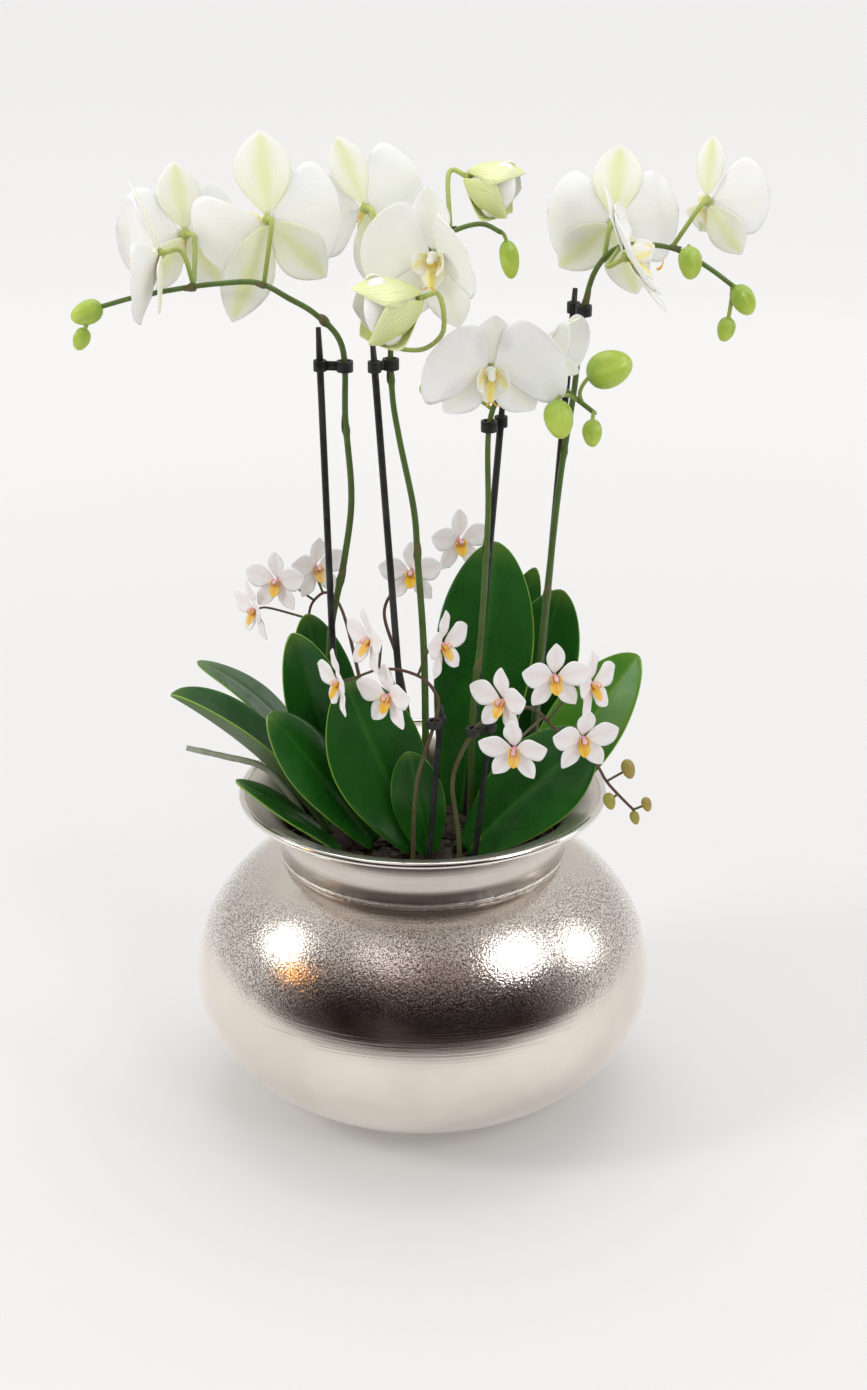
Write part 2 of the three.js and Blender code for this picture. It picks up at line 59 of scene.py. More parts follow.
def vec(point: Sequence[float]) -> Vector:
    """A point in millimetres as a vector in millimetres.

    Args:
        point: x, y and z.

    Returns:
        The vector.
    """
    return Vector((point[0], point[1], point[2]))


def smooth_path(points: Sequence[Vector], steps: int) -> list[Vector]:
    """Evenly spaced points on a smooth curve through the given ones.

    Args:
        points: the points the curve passes through.
        steps: how many equal lengths to cut it into.

    Returns:
        steps + 1 points along the curve.
    """
    ghosts = [2 * points[0] - points[1], *points, 2 * points[-1] - points[-2]]
    fine: list[Vector] = [points[0].copy()]
    for i in range(len(points) - 1):
        a, b, c, d = ghosts[i : i + 4]
        spans = [max(1e-4, (q - p).length_squared**0.25) for p, q in ((a, b), (b, c), (c, d))]
        leave = ((b - a) / spans[0] - (c - a) / (spans[0] + spans[1]) + (c - b) / spans[1]) * spans[1]
        arrive = ((c - b) / spans[1] - (d - b) / (spans[1] + spans[2]) + (d - c) / spans[2]) * spans[1]
        for k in range(1, 21):
            t = k / 20
            cubic = 2 * b - 2 * c + leave + arrive
            square = -3 * b + 3 * c - 2 * leave - arrive
            fine.append(b + leave * t + square * t * t + cubic * t**3)
    lengths = [0.0]
    for before, after in zip(fine, fine[1:]):
        lengths.append(lengths[-1] + (after - before).length)
    result: list[Vector] = []
    row = 0
    for k in range(steps + 1):
        target = lengths[-1] * k / steps
        while row < len(lengths) - 2 and lengths[row + 1] < target:
            row += 1
        span = max(1e-9, lengths[row + 1] - lengths[row])
        result.append(fine[row].lerp(fine[row + 1], min(1.0, (target - lengths[row]) / span)))
    return result


def upright(direction: Vector) -> Matrix:
    """The turn that takes +Z onto a direction.

    Args:
        direction: where +Z should point.

    Returns:
        A 4x4 rotation.
    """
    return Vector((0, 0, 1)).rotation_difference(direction.normalized()).to_matrix().to_4x4()


def nearest(points: Sequence[Vector], target: Vector) -> Vector:
    """The point of a list nearest to a target.

    Args:
        points: the points to choose from.
        target: the place they are compared with.

    Returns:
        The nearest point.
    """
    return min(points, key=lambda point: (point - target).length)


# ---------------------------------------------------------------- pieces


def new_mesh() -> bmesh.types.BMesh:
    """An empty mesh with the layers the finishes read.

    Returns:
        A mesh with a UV layer and an along value on each vertex.
    """
    mesh = bmesh.new()
    mesh.loops.layers.uv.new("Sheet")
    mesh.verts.layers.float.new("along")
    return mesh


@dataclass
class Thickening:
    """Turns a sheet into a body.

    Attributes:
        thickness: millimetres through the sheet.
        back_offset: how many material slots further the back face is.
    """

    thickness: float
    back_offset: int = 1


def make_piece(
    name: str,
    mesh: bmesh.types.BMesh,
    materials: Sequence[bpy.types.Material],
    nodes: Sequence[str] = (),
    thickening: Thickening | None = None,
    rounding: int = 0,
    smooth: bool = True,
) -> bpy.types.Object:
    """Turns a finished mesh in millimetres into a piece that rides on the part.

    Args:
        name: the piece's name.
        mesh: its shape, which is used up.
        materials: its finishes, in slot order.
        nodes: CAD nodes it is shown in place of.
        thickening: given for a sheet.
        rounding: levels of subdivision.
        smooth: shade it smooth.

    Returns:
        The object.
    """
    bmesh.ops.scale(mesh, vec=(MM, MM, MM), verts=mesh.verts)
    if thickening is None:
        bmesh.ops.recalc_face_normals(mesh, faces=mesh.faces)
    data = bpy.data.meshes.new(name)
    for face in mesh.faces:
        face.smooth = smooth
    mesh.to_mesh(data)
    mesh.free()
    piece = bpy.data.objects.new(name, data)
    bpy.context.scene.collection.objects.link(piece)
    for material in materials:
        data.materials.append(material)
    if thickening is not None:
        solid = piece.modifiers.new("thickness", "SOLIDIFY")
        solid.thickness = thickening.thickness * MM
        solid.offset = 0.0
        solid.material_offset = thickening.back_offset
        solid.material_offset_rim = 0
    if rounding:
        soften = piece.modifiers.new("soften", "SUBSURF")
        soften.levels = rounding
        soften.render_levels = rounding
    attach(piece, "root")
    if nodes:
        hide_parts(*nodes)
    LOG.info("built %s", name)
    return piece


@dataclass(frozen=True)
class Blade:
    """A leaf, petal, sepal or lobe, from the origin along +Y, upper face towards +Z.

    Lengths are in millimetres and angles in degrees.

    Attributes:
        length: along the middle line.
        width: at its widest.
        rise: how far the middle line tips up at the start.
        curl: how far it turns from start to end.
        twist: how far it turns about its middle line.
        fold: V fold along the middle line.
        cup: how far the edges lift.
        neck: width at the start, as a share of the widest.
        peak: where it is widest, 0 start to 1 tip.
        blunt: below 1 the tip is rounder.
        start: how far from the origin it begins.
        ruffle: how far the edges wave.
        waves: how many waves each edge has.
        groove: depth of the crease along the middle.
        columns: faces across.
        rows: faces along.
    """

    length: float
    width: float
    rise: float = 0.0
    curl: float = 0.0
    twist: float = 0.0
    fold: float = 0.0
    cup: float = 0.0
    neck: float = 0.25
    peak: float = 0.55
    blunt: float = 0.6
    start: float = 0.0
    ruffle: float = 0.0
    waves: float = 2.0
    groove: float = 0.0
    columns: int = 8
    rows: int = 14

    def outline(self, v: float) -> float:
        """Half-width at v as a share of the widest half-width.

        Args:
            v: 0 at the start, 1 at the tip.

        Returns:
            The share.
        """
        if v < self.peak:
            return self.neck + (1 - self.neck) * math.sin(math.pi / 2 * v / self.peak)
        return max(0.03, math.cos(math.pi / 2 * (v - self.peak) / (1 - self.peak)) ** self.blunt)

    def point(self, u: float, v: float, phase: float = 0.0) -> Vector:
        """A point of the sheet.

        Args:
            u: -1 at the left edge to 1 at the right.
            v: 0 at the start to 1 at the tip.
            phase: shifts the waves of the edge.

        Returns:
            The point in millimetres.
        """
        half = self.width / 2 * self.outline(v)
        rise = math.radians(self.rise)
        curl = math.radians(self.curl) or 1e-4
        pitch = rise + curl * v
        crease = math.sqrt(u * u + 0.006) - 0.077
        lift = (self.fold * crease + self.cup * u * u) * half
        lift += self.ruffle * u * u * math.sin(math.tau * self.waves * v + phase + (1.3 if u > 0 else 0.0))
        lift -= self.groove * math.exp(-((u * half / 1.6) ** 2)) * min(1.0, 4 * (1 - v))
        turn = math.radians(self.twist) * v
        side = u * half * math.cos(turn) - lift * math.sin(turn)
        up = u * half * math.sin(turn) + lift * math.cos(turn)
        along = self.length / curl * (math.sin(pitch) - math.sin(rise))
        climb = self.length / curl * (math.cos(rise) - math.cos(pitch))
        return Vector((side, self.start + along - up * math.sin(pitch), climb + up * math.cos(pitch)))

    def add_to(
        self, mesh: bmesh.types.BMesh, place: Matrix, material: int = 0, phase: float = 0.0
    ) -> None:
        """Adds the sheet to a mesh.

        Args:
            mesh: where it goes.
            place: its place in millimetres.
            material: material slot of its faces.
            phase: shifts the waves of the edge.
        """
        made = bmesh.ops.create_grid(
            mesh, x_segments=self.columns, y_segments=self.rows, size=1.0, calc_uvs=True
        )
        along = mesh.verts.layers.float["along"]
        for vert in made["verts"]:
            u = vert.co.x
            share = (vert.co.y + 1) / 2
            v = 1 - (1 - share) ** 1.35
            vert[along] = v
            vert.co = place @ self.point(u, v, phase)
        for face in {face for vert in made["verts"] for face in vert.link_faces}:
            face.material_index = material


def add_sweep(
    mesh: bmesh.types.BMesh,
    path: Sequence[Vector],
    radius: Callable[[float], float],
    sides: int = 12,
    material: int = 0,
) -> None:
    """Adds a round stem along a path by pulling a ring from station to station.

    Args:
        mesh: where it goes.
        path: the stations, in millimetres.
        radius: the radius at a share of the way along.
        sides: faces round the stem.
        material: material slot of its faces.
    """
    along = mesh.verts.layers.float["along"]
    last = len(path) - 1
    heading = (path[1] - path[0]).normalized()
    turn = upright(heading)
    ring = bmesh.ops.create_circle(mesh, cap_ends=True, segments=sides, radius=1.0)["verts"]
    before = Matrix.Identity(4)
    known = set(ring)
    edges = list({edge for vert in ring for edge in vert.link_edges if edge.other_vert(vert) in known})
    verts = list(ring)
    for i, station in enumerate(path):
        ahead = path[min(last, i + 1)] - path[max(0, i - 1)]
        ahead.normalize()
        turn = heading.rotation_difference(ahead).to_matrix().to_4x4() @ turn
        heading = ahead
        size = max(0.02, radius(i / last))
        now = Matrix.Translation(station) @ turn @ Matrix.Scale(size, 4)
        if i:
            made = bmesh.ops.extrude_edge_only(mesh, edges=edges)["geom"]
            verts = [item for item in made if isinstance(item, bmesh.types.BMVert)]
            new = set(verts)
            known |= new
            edges = [
                item for item in made if isinstance(item, bmesh.types.BMEdge) and all(
                    v in new for v in item.verts
                )
            ]
        bmesh.ops.transform(mesh, matrix=now @ before.inverted(), verts=verts)
        before = now
        for vert in verts:
            vert[along] = i / last
    bmesh.ops.edgeloop_fill(mesh, edges=edges)
    if material:
        for face in {face for vert in known for face in vert.link_faces}:
            face.material_index = material


def add_ball(
    mesh: bmesh.types.BMesh,
    centre: Vector,
    radius: float,
    stretch: float = 1.0,
    towards: Vector = Vector((0, 0, 1)),
    creases: float = 0.0,
    pear: float = 0.0,
    detail: int = 16,
) -> None:
    """Adds a bud, berry or knob.

    Args:
        mesh: where it goes.
        centre: its middle.
        radius: its half-width.
        stretch: its length over its width.
        towards: which way its tip points.
        creases: depth of three seams, as a share of the radius.
        pear: how much slimmer the tip is than the foot.
        detail: faces round it.
    """
    made = bmesh.ops.create_uvsphere(mesh, u_segments=detail, v_segments=max(6, detail * 2 // 3), radius=1.0)
    along = mesh.verts.layers.float["along"]
    place = Matrix.Translation(centre) @ upright(towards)
    for vert in made["verts"]:
        x, y, z = vert.co
        seam = 1 - creases * abs(math.cos(1.5 * math.atan2(y, x))) ** 9 * (1 - z * z)
        slim = seam * (1 - pear * (z + 1) / 2)
        vert[along] = (z + 1) / 2
        vert.co = place @ Vector((x * radius * slim, y * radius * slim, z * radius * stretch))


# ---------------------------------------------------------------- shading tools


class Graph:
    """Short ways to place and wire shader nodes in one tree."""

    def __init__(self, tree: bpy.types.NodeTree) -> None:
        """Starts on a tree.

        Args:
            tree: the material's or the group's node tree.
        """
        self.tree = tree
        self.count = 0

    def add(self, kind: str, settings: dict | None = None, **inputs: object) -> bpy.types.Node:
        """Adds a node.

        Args:
            kind: the node type.
            settings: properties of the node.
            inputs: socket names, with _ for a space, and a value or a socket to link.

        Returns:
            The node.
        """
        node = self.tree.nodes.new(kind)
        node.location = (220 * (self.count % 8), -200 * (self.count // 8))
        self.count += 1
        for name, value in (settings or {}).items():
            setattr(node, name, value)
        for name, value in inputs.items():
            self.feed(node.inputs[name.replace("_", " ")], value)
        return node

    def feed(self, socket: bpy.types.NodeSocket, value: object) -> None:
        """Links a socket to another, or sets its value.

        Args:
            socket: an input.
            value: an output socket or a plain value.
        """
        if isinstance(value, bpy.types.NodeSocket):
            self.tree.links.new(value, socket)
        else:
            socket.default_value = value

    def math(self, operation: str, a: object, b: object = 0.0) -> bpy.types.NodeSocket:
        """One arithmetic step.

        Args:
            operation: the Math node's operation.
            a: first value or socket.
            b: second value or socket.

        Returns:
            The result's socket.
        """
        node = self.add("ShaderNodeMath", {"operation": operation})
        self.feed(node.inputs[0], a)
        self.feed(node.inputs[1], b)
        return node.outputs[0]

    def times(self, a: object, b: object) -> bpy.types.NodeSocket:
        """The product of two values."""
        return self.math("MULTIPLY", a, b)

    def plus(self, a: object, b: object) -> bpy.types.NodeSocket:
        """The sum of two values."""
        return self.math("ADD", a, b)

    def minus(self, a: object, b: object) -> bpy.types.NodeSocket:
        """The first value less the second."""
        return self.math("SUBTRACT", a, b)

    def mix(self, factor: object, a: object, b: object) -> bpy.types.NodeSocket:
        """Blends two colours.

        Args:
            factor: how much of b, a value or socket.
            a: first colour.
            b: second colour.

        Returns:
            The blended colour's socket.
        """
        node = self.add("ShaderNodeMix", {"data_type": "RGBA"})
        self.feed(node.inputs[0], factor)
        self.feed(node.inputs[6], a)
        self.feed(node.inputs[7], b)
        return node.outputs[2]

    def ramp(
        self, value: object, low: float, high: float, start: float = 0.0, end: float = 1.0
    ) -> bpy.types.NodeSocket:
        """A smooth step from one value to another.

        Args:
            value: what is read.
            low: where the step starts.
            high: where it ends.
            start: result below low.
            end: result above high.

        Returns:
            The result's socket.
        """
        node = self.add("ShaderNodeMapRange", {"interpolation_type": "SMOOTHSTEP"})
        for socket, item in zip(node.inputs[:5], (value, low, high, start, end)):
            self.feed(socket, item)
        return node.outputs[0]

    def noise(
        self, vector: object, scale: float, detail: float = 3.0, rough: float = 0.55
    ) -> bpy.types.NodeSocket:
        """Smooth noise.

        Args:
            vector: where it is read.
            scale: its scale.
            detail: octaves.
            rough: how strong the finer octaves are.

        Returns:
            The value's socket.
        """
        node = self.add("ShaderNodeTexNoise", Vector=vector, Scale=scale, Detail=detail, Roughness=rough)
        return node.outputs["Fac"]

    def stretched(self, vector: object, scale: tuple[float, float, float]) -> bpy.types.NodeSocket:
        """A vector scaled by axis.

        Args:
            vector: the vector's socket.
            scale: its three factors.

        Returns:
            The scaled vector's socket.
        """
        node = self.add("ShaderNodeVectorMath", {"operation": "MULTIPLY"})
        self.feed(node.inputs[0], vector)
        self.feed(node.inputs[1], scale)
        return node.outputs[0]

    def bump(
        self, height: object, strength: float, distance: float, normal: object = None
    ) -> bpy.types.NodeSocket:
        """A normal bent by a height.

        Args:
            height: the height's socket.
            strength: share of the effect.
            distance: height in metres.
            normal: an earlier normal to build on.

        Returns:
            The normal's socket.
        """
        node = self.add("ShaderNodeBump", Height=height, Strength=strength, Distance=distance)
        if normal is not None:
            self.feed(node.inputs["Normal"], normal)
        return node.outputs["Normal"]

    def group(self, tree: bpy.types.NodeTree, **inputs: object) -> bpy.types.Node:
        """Places a shared group.

        Args:
            tree: the group's tree.
            inputs: its sockets, with _ for a space.

        Returns:
            The group node.
        """
        return self.add("ShaderNodeGroup", {"node_tree": tree}, **inputs)


def open_group(
    name: str, inputs: dict[str, tuple[str, object]], outputs: dict[str, str]
) -> tuple[Graph, dict, dict]:
    """Starts a shared shader group with named sockets.

    Args:
        name: the group's name.
        inputs: socket name to its kind and default.
        outputs: socket name to its kind.

    Returns:
        The graph, its input sockets by name and its output sockets by name.
    """
    tree = bpy.data.node_groups.new(name, "ShaderNodeTree")
    kinds = {"value": "NodeSocketFloat", "vector": "NodeSocketVector", "colour": "NodeSocketColor"}
    for label, (kind, default) in inputs.items():
        socket = tree.interface.new_socket(label, in_out="INPUT", socket_type=kinds[kind])
        if default is not None:
            socket.default_value = default
    for label, kind in outputs.items():
        tree.interface.new_socket(label, in_out="OUTPUT", socket_type=kinds[kind])
    graph = Graph(tree)
    inside = graph.add("NodeGroupInput")
    outside = graph.add("NodeGroupOutput")
    return (
        graph,
        {label: inside.outputs[label] for label in inputs},
        {label: outside.inputs[label] for label in outputs},
    )


class Shared:
    """The shader groups that several finishes use."""

    def __init__(self) -> None:
        """Builds every group once."""
        self.veins = self._veins()
        self.middle = self._middle()
        self.speckle = self._speckle()
        self.cloud = self._cloud()
        self.grain = self._grain()
        self.scratches = self._scratches()

    def _veins(self) -> bpy.types.NodeTree:
        """Fine lines along a sheet that fan out from its start.

        Returns:
            The group: Sheet and Count in, Mask out.
        """
        graph, given, out = open_group(
            "veins along", {"Sheet": ("vector", None), "Count": ("value", 18.0)}, {"Mask": "value"}
        )
        split = graph.add("ShaderNodeSeparateXYZ", Vector=given["Sheet"])
        wander = graph.noise(graph.stretched(given["Sheet"], (3.0, 5.0, 1.0)), 1.0, 2.0)
        shift = graph.times(graph.minus(wander, 0.5), 0.2)
        across = graph.plus(split.outputs["X"], shift)
        lines = graph.math("PINGPONG", graph.times(across, given["Count"]), 0.5)
        graph.feed(out["Mask"], graph.ramp(lines, 0.0, 0.22, 1.0, 0.0))
        return graph.tree

    def _middle(self) -> bpy.types.NodeTree:
        """Masks for the middle line, the rim and the tip of a sheet.

        Returns:
            The group: Sheet and Width in, Middle, Rim and Tip out.
        """
        graph, given, out = open_group(
            "sheet masks",
            {"Sheet": ("vector", None), "Width": ("value", 0.06)},
            {"Middle": "value", "Rim": "value", "Tip": "value", "Foot": "value"},
        )
        split = graph.add("ShaderNodeSeparateXYZ", Vector=given["Sheet"])
        away = graph.math("ABSOLUTE", graph.minus(split.outputs["X"], 0.5))
        graph.feed(out["Middle"], graph.ramp(away, 0.0, given["Width"], 1.0, 0.0))
        inner = graph.minus(0.5, given["Width"])
        graph.feed(out["Rim"], graph.ramp(away, inner, 0.5, 0.0, 1.0))
        graph.feed(out["Tip"], graph.ramp(split.outputs["Y"], 0.8, 1.0, 0.0, 1.0))
        graph.feed(out["Foot"], graph.ramp(split.outputs["Y"], 0.0, 0.55, 1.0, 0.0))
        return graph.tree

    def _speckle(self) -> bpy.types.NodeTree:
        """Scattered small spots.

        Returns:
            The group: Place, Scale and Amount in, Mask out.
        """
        graph, given, out = open_group(
            "speckle",
            {"Place": ("vector", None), "Scale": ("value", 400.0), "Amount": ("value", 0.3)},
            {"Mask": "value"},
        )
        cells = graph.add("ShaderNodeTexVoronoi", Vector=given["Place"], Scale=given["Scale"])
        edge = graph.times(given["Amount"], 1.5)
        graph.feed(out["Mask"], graph.ramp(cells.outputs["Distance"], given["Amount"], edge, 1.0, 0.0))
        return graph.tree

    def _cloud(self) -> bpy.types.NodeTree:
        """Soft uneven patches.

        Returns:
            The group: Place and Scale in, Mask out.
        """
        graph, given, out = open_group(
            "cloud", {"Place": ("vector", None), "Scale": ("value", 30.0)}, {"Mask": "value"}
        )
        graph.feed(out["Mask"], graph.ramp(graph.noise(given["Place"], given["Scale"], 4.0), 0.35, 0.68))
        return graph.tree

    def _grain(self) -> bpy.types.NodeTree:
        """The pebbled surface of sand-cast metal.

        Returns:
            The group: Place and Scale in; Height, a mask of the peaks that carries the painted glints, and a
                mask of the hollows that carries the painted shade, out.
        """
        graph, given, out = open_group(
            "cast grain",
            {"Place": ("vector", None), "Scale": ("value", 500.0)},
            {"Height": "value", "Peaks and painted glints": "value", "Painted pit shade": "value"},
        )
        cells = graph.add(
            "ShaderNodeTexVoronoi", {"feature": "SMOOTH_F1"}, Vector=given["Place"], Scale=given["Scale"]
        )
        fine = graph.add("ShaderNodeTexNoise", Vector=given["Place"], Scale=graph.times(given["Scale"], 1.7))
        height = graph.plus(
            graph.times(cells.outputs["Distance"], 0.7), graph.times(fine.outputs["Fac"], 0.5)
        )
        graph.feed(out["Height"], height)
        # Peaks of the fine noise: painted near-white later as glints where the grain would catch the light;
        # on the weld and turned metal this mask also places the grain.
        graph.feed(out["Peaks and painted glints"], graph.ramp(fine.outputs["Fac"], 0.51, 0.58))
        # Hollows of the fine noise: painted near-black later as shade where the grain would fall dark.
        graph.feed(out["Painted pit shade"], graph.ramp(fine.outputs["Fac"], 0.49, 0.43))
        return graph.tree

    def _scratches(self) -> bpy.types.NodeTree:
        """Fine lines round a turned surface.

        Returns:
            The group: Place in, Lines out.
        """
        graph, given, out = open_group("turned lines", {"Place": ("vector", None)}, {"Lines": "value"})
        wide = graph.noise(graph.stretched(given["Place"], (6.0, 6.0, 900.0)), 1.0, 3.0)
        thin = graph.noise(graph.stretched(given["Place"], (14.0, 14.0, 2600.0)), 1.0, 2.0)
        graph.feed(out["Lines"], graph.plus(graph.times(wide, 0.6), graph.times(thin, 0.4)))
        return graph.tree


Colour = tuple[float, float, float]


def paint(colour: Colour) -> tuple[float, float, float, float]:
    """A colour with full opacity.

    Args:
        colour: red, green and blue.

    Returns:
        The four values a colour socket takes.
    """
    return (*colour, 1.0)


def start_material(name: str) -> tuple[bpy.types.Material, Graph, bpy.types.Node]:
    """A material with a Principled BSDF on its output.

    Args:
        name: the material's name.

    Returns:
        The material, its graph and the BSDF node.
    """
    material = bpy.data.materials.new(name)
    material.use_nodes = True
    material.node_tree.nodes.clear()
    graph = Graph(material.node_tree)
    surface = graph.add("ShaderNodeBsdfPrincipled")
    output = graph.add("ShaderNodeOutputMaterial")
    graph.feed(output.inputs["Surface"], surface.outputs[0])
    return material, graph, surface


def apply(graph: Graph, surface: bpy.types.Node, **inputs: object) -> None:
    """Feeds a BSDF.

    Args:
        graph: the material's graph.
        surface: its Principled BSDF.
        inputs: socket names, with _ for a space.
    """
    for name, value in inputs.items():
        graph.feed(surface.inputs[name.replace("_", " ")], value)


def sheet_place(graph: Graph) -> tuple[bpy.types.NodeSocket, bpy.types.NodeSocket]:
    """Where a sheet's texture and its solid texture are read.

    Args:
        graph: the material's graph.

    Returns:
        The sheet's own coordinates and the object's.
    """
    sheet = graph.add("ShaderNodeUVMap", {"uv_map": "Sheet"})
    place = graph.add("ShaderNodeTexCoord")
    return sheet.outputs["UV"], place.outputs["Object"]


@dataclass(frozen=True)
class PetalFinish:
    """One face of a petal, sepal or lip lobe.

    Attributes:
        name: the material's name.
        body: the main colour.
        heart: the colour towards the foot and the middle.
        vein: the colour of the veins.
        heart_share: how strong the heart colour is.
        vein_share: how strong the veins are.
        blush: colour of soft uneven patches.
        blush_share: how strong they are.
        spots: colour of spots near the foot.
        spots_share: how strong they are.
    """

    name: str
    body: Colour
    heart: Colour
    vein: Colour
    heart_share: float = 0.5
    vein_share: float = 0.2
    blush: Colour = (0.93, 0.90, 0.80)
    blush_share: float = 0.2
    spots: Colour = (0.62, 0.05, 0.02)
    spots_share: float = 0.0

    def build(self, shared: Shared) -> bpy.types.Material:
        """Makes the material.

        Args:
            shared: the shared groups.

        Returns:
            The material.
        """
        material, graph, surface = start_material(self.name)
        sheet, place = sheet_place(graph)
        masks = graph.group(shared.middle, Sheet=sheet, Width=0.34)
        veins = graph.group(shared.veins, Sheet=sheet, Count=17.0)
        cloud = graph.group(shared.cloud, Place=place, Scale=60.0)
        deep = graph.times(masks.outputs["Foot"], 0.62 + 0.8 * self.spots_share)
        away = graph.minus(1.0, masks.outputs["Tip"])
        stripe = graph.times(graph.times(masks.outputs["Middle"], away), 0.8)
        deep = graph.math("MAXIMUM", deep, stripe)
        colour = graph.mix(graph.times(deep, self.heart_share), paint(self.body), paint(self.heart))
        colour = graph.mix(graph.times(cloud.outputs["Mask"], self.blush_share), colour, paint(self.blush))
        fade = graph.times(veins.outputs["Mask"], self.vein_share)
        colour = graph.mix(fade, colour, paint(self.vein))
        if self.spots_share:
            spots = graph.group(shared.speckle, Place=place, Scale=560.0, Amount=0.26)
            near = graph.times(masks.outputs["Foot"], self.spots_share)
            colour = graph.mix(graph.times(spots.outputs["Mask"], near), colour, paint(self.spots))
        cells = graph.noise(place, 2600.0, 2.0)
        height = graph.plus(graph.times(veins.outputs["Mask"], -0.4), graph.times(cells, 0.35))
        apply(
            graph,
            surface,
            Base_Color=colour,
            Roughness=graph.ramp(cells, 0.2, 0.8, 0.42, 0.62),
            Normal=graph.bump(height, 0.3, 0.0002),
            Subsurface_Weight=0.35,
            Subsurface_Scale=0.003,
            Subsurface_Radius=(1.0, 0.95, 0.8),
            Sheen_Weight=0.15,
        )
        return material


@dataclass(frozen=True)
class LeafFinish:
    """One face of a strap leaf.

    Attributes:
        name: the material's name.
        body: the main colour.
        pale: the colour of the rim and of lighter patches.
        middle: the colour of the middle line.
        rough: how matt it is.
        rim_share: how strong the pale rim is.
        coat: how strong its waxy shine is.
    """

    name: str
    body: Colour
    pale: Colour
    middle: Colour
    rough: float
    rim_share: float = 0.7
    coat: float = 0.4

    def build(self, shared: Shared) -> bpy.types.Material:
        """Makes the material.

        Args:
            shared: the shared groups.

        Returns:
            The material.
        """
        material, graph, surface = start_material(self.name)
        sheet, place = sheet_place(graph)
        rim = graph.group(shared.middle, Sheet=sheet, Width=0.022)
        line = graph.group(shared.middle, Sheet=sheet, Width=0.05)
        wide = graph.group(shared.middle, Sheet=sheet, Width=0.3)
        veins = graph.group(shared.veins, Sheet=sheet, Count=46.0)
        cloud = graph.group(shared.cloud, Place=place, Scale=22.0)
        dust = graph.group(shared.speckle, Place=place, Scale=900.0, Amount=0.12)
        colour = graph.mix(graph.times(cloud.outputs["Mask"], 0.35), paint(self.body), paint(self.pale))
        colour = graph.mix(graph.times(wide.outputs["Rim"], 0.18), colour, paint(self.pale))
        colour = graph.mix(graph.times(veins.outputs["Mask"], 0.22), colour, paint(self.middle))
        colour = graph.mix(graph.times(line.outputs["Middle"], 0.5), colour, paint(self.middle))
        edge = graph.math("MAXIMUM", rim.outputs["Rim"], graph.times(rim.outputs["Tip"], 0.35))
        colour = graph.mix(graph.times(edge, self.rim_share), colour, paint((0.28, 0.48, 0.05)))
        colour = graph.mix(graph.times(dust.outputs["Mask"], 0.12), colour, paint((0.55, 0.6, 0.5)))
        pores = graph.noise(place, 1500.0, 2.0)
        height = graph.plus(graph.times(veins.outputs["Mask"], -0.5), graph.times(pores, 0.3))
        height = graph.minus(height, graph.times(line.outputs["Middle"], 0.8))
        rough = graph.plus(self.rough, graph.times(cloud.outputs["Mask"], 0.1))
        waves = graph.bump(graph.noise(place, 26.0, 2.0), 0.6, 0.004)
        apply(
            graph,
            surface,
            Base_Color=colour,
            Roughness=rough,
            Normal=graph.bump(height, 0.4, 0.0003, waves),
            Subsurface_Weight=0.05,
            Subsurface_Scale=0.002,
            Specular_IOR_Level=0.34,
            Coat_Weight=self.coat,
            Coat_Roughness=0.16,
        )
        return material


@dataclass(frozen=True)
class StemFinish:
    """A stem, stalk, bud, bract or root: solid, with a change of colour along it.

    Attributes:
        name: the material's name.
        foot: the colour at the start.
        tip: the colour at the end.
        patch: the colour of uneven patches.
        patch_share: how strong they are.
        rough: how matt it is.
        streaks: how strongly fine lines run along it.
    """

    name: str
    foot: Colour
    tip: Colour
    patch: Colour
    patch_share: float = 0.4
    rough: float = 0.42
    streaks: float = 0.25

    def build(self, shared: Shared) -> bpy.types.Material:
        """Makes the material.

        Args:
            shared: the shared groups.

        Returns:
            The material.
        """
        material, graph, surface = start_material(self.name)
        along = graph.add("ShaderNodeAttribute", {"attribute_name": "along"}).outputs["Fac"]
        place = graph.add("ShaderNodeTexCoord").outputs["Object"]
        cloud = graph.group(shared.cloud, Place=place, Scale=90.0)
        flecks = graph.group(shared.speckle, Place=place, Scale=1100.0, Amount=0.22)
        lines = graph.noise(graph.stretched(place, (900.0, 900.0, 30.0)), 1.0, 3.0)
        colour = graph.mix(along, paint(self.foot), paint(self.tip))
        colour = graph.mix(graph.times(cloud.outputs["Mask"], self.patch_share), colour, paint(self.patch))
        colour = graph.mix(graph.times(lines, self.streaks), colour, paint(self.patch))
        colour = graph.mix(graph.times(flecks.outputs["Mask"], 0.2), colour, paint(self.tip))
        height = graph.plus(graph.times(lines, 0.7), graph.times(flecks.outputs["Mask"], -0.4))
        apply(
            graph,
            surface,
            Base_Color=colour,
            Roughness=graph.ramp(cloud.outputs["Mask"], 0.0, 1.0, self.rough, self.rough + 0.15),
            Normal=graph.bump(height, 0.35, 0.0002),
            Subsurface_Weight=0.08,
            Subsurface_Scale=0.002,
        )
        return material


class Surface(Enum):
    """How a metal part was finished."""

    CAST = "cast"
    TURNED = "turned"
    WELD = "weld"
    POLISHED = "polished"


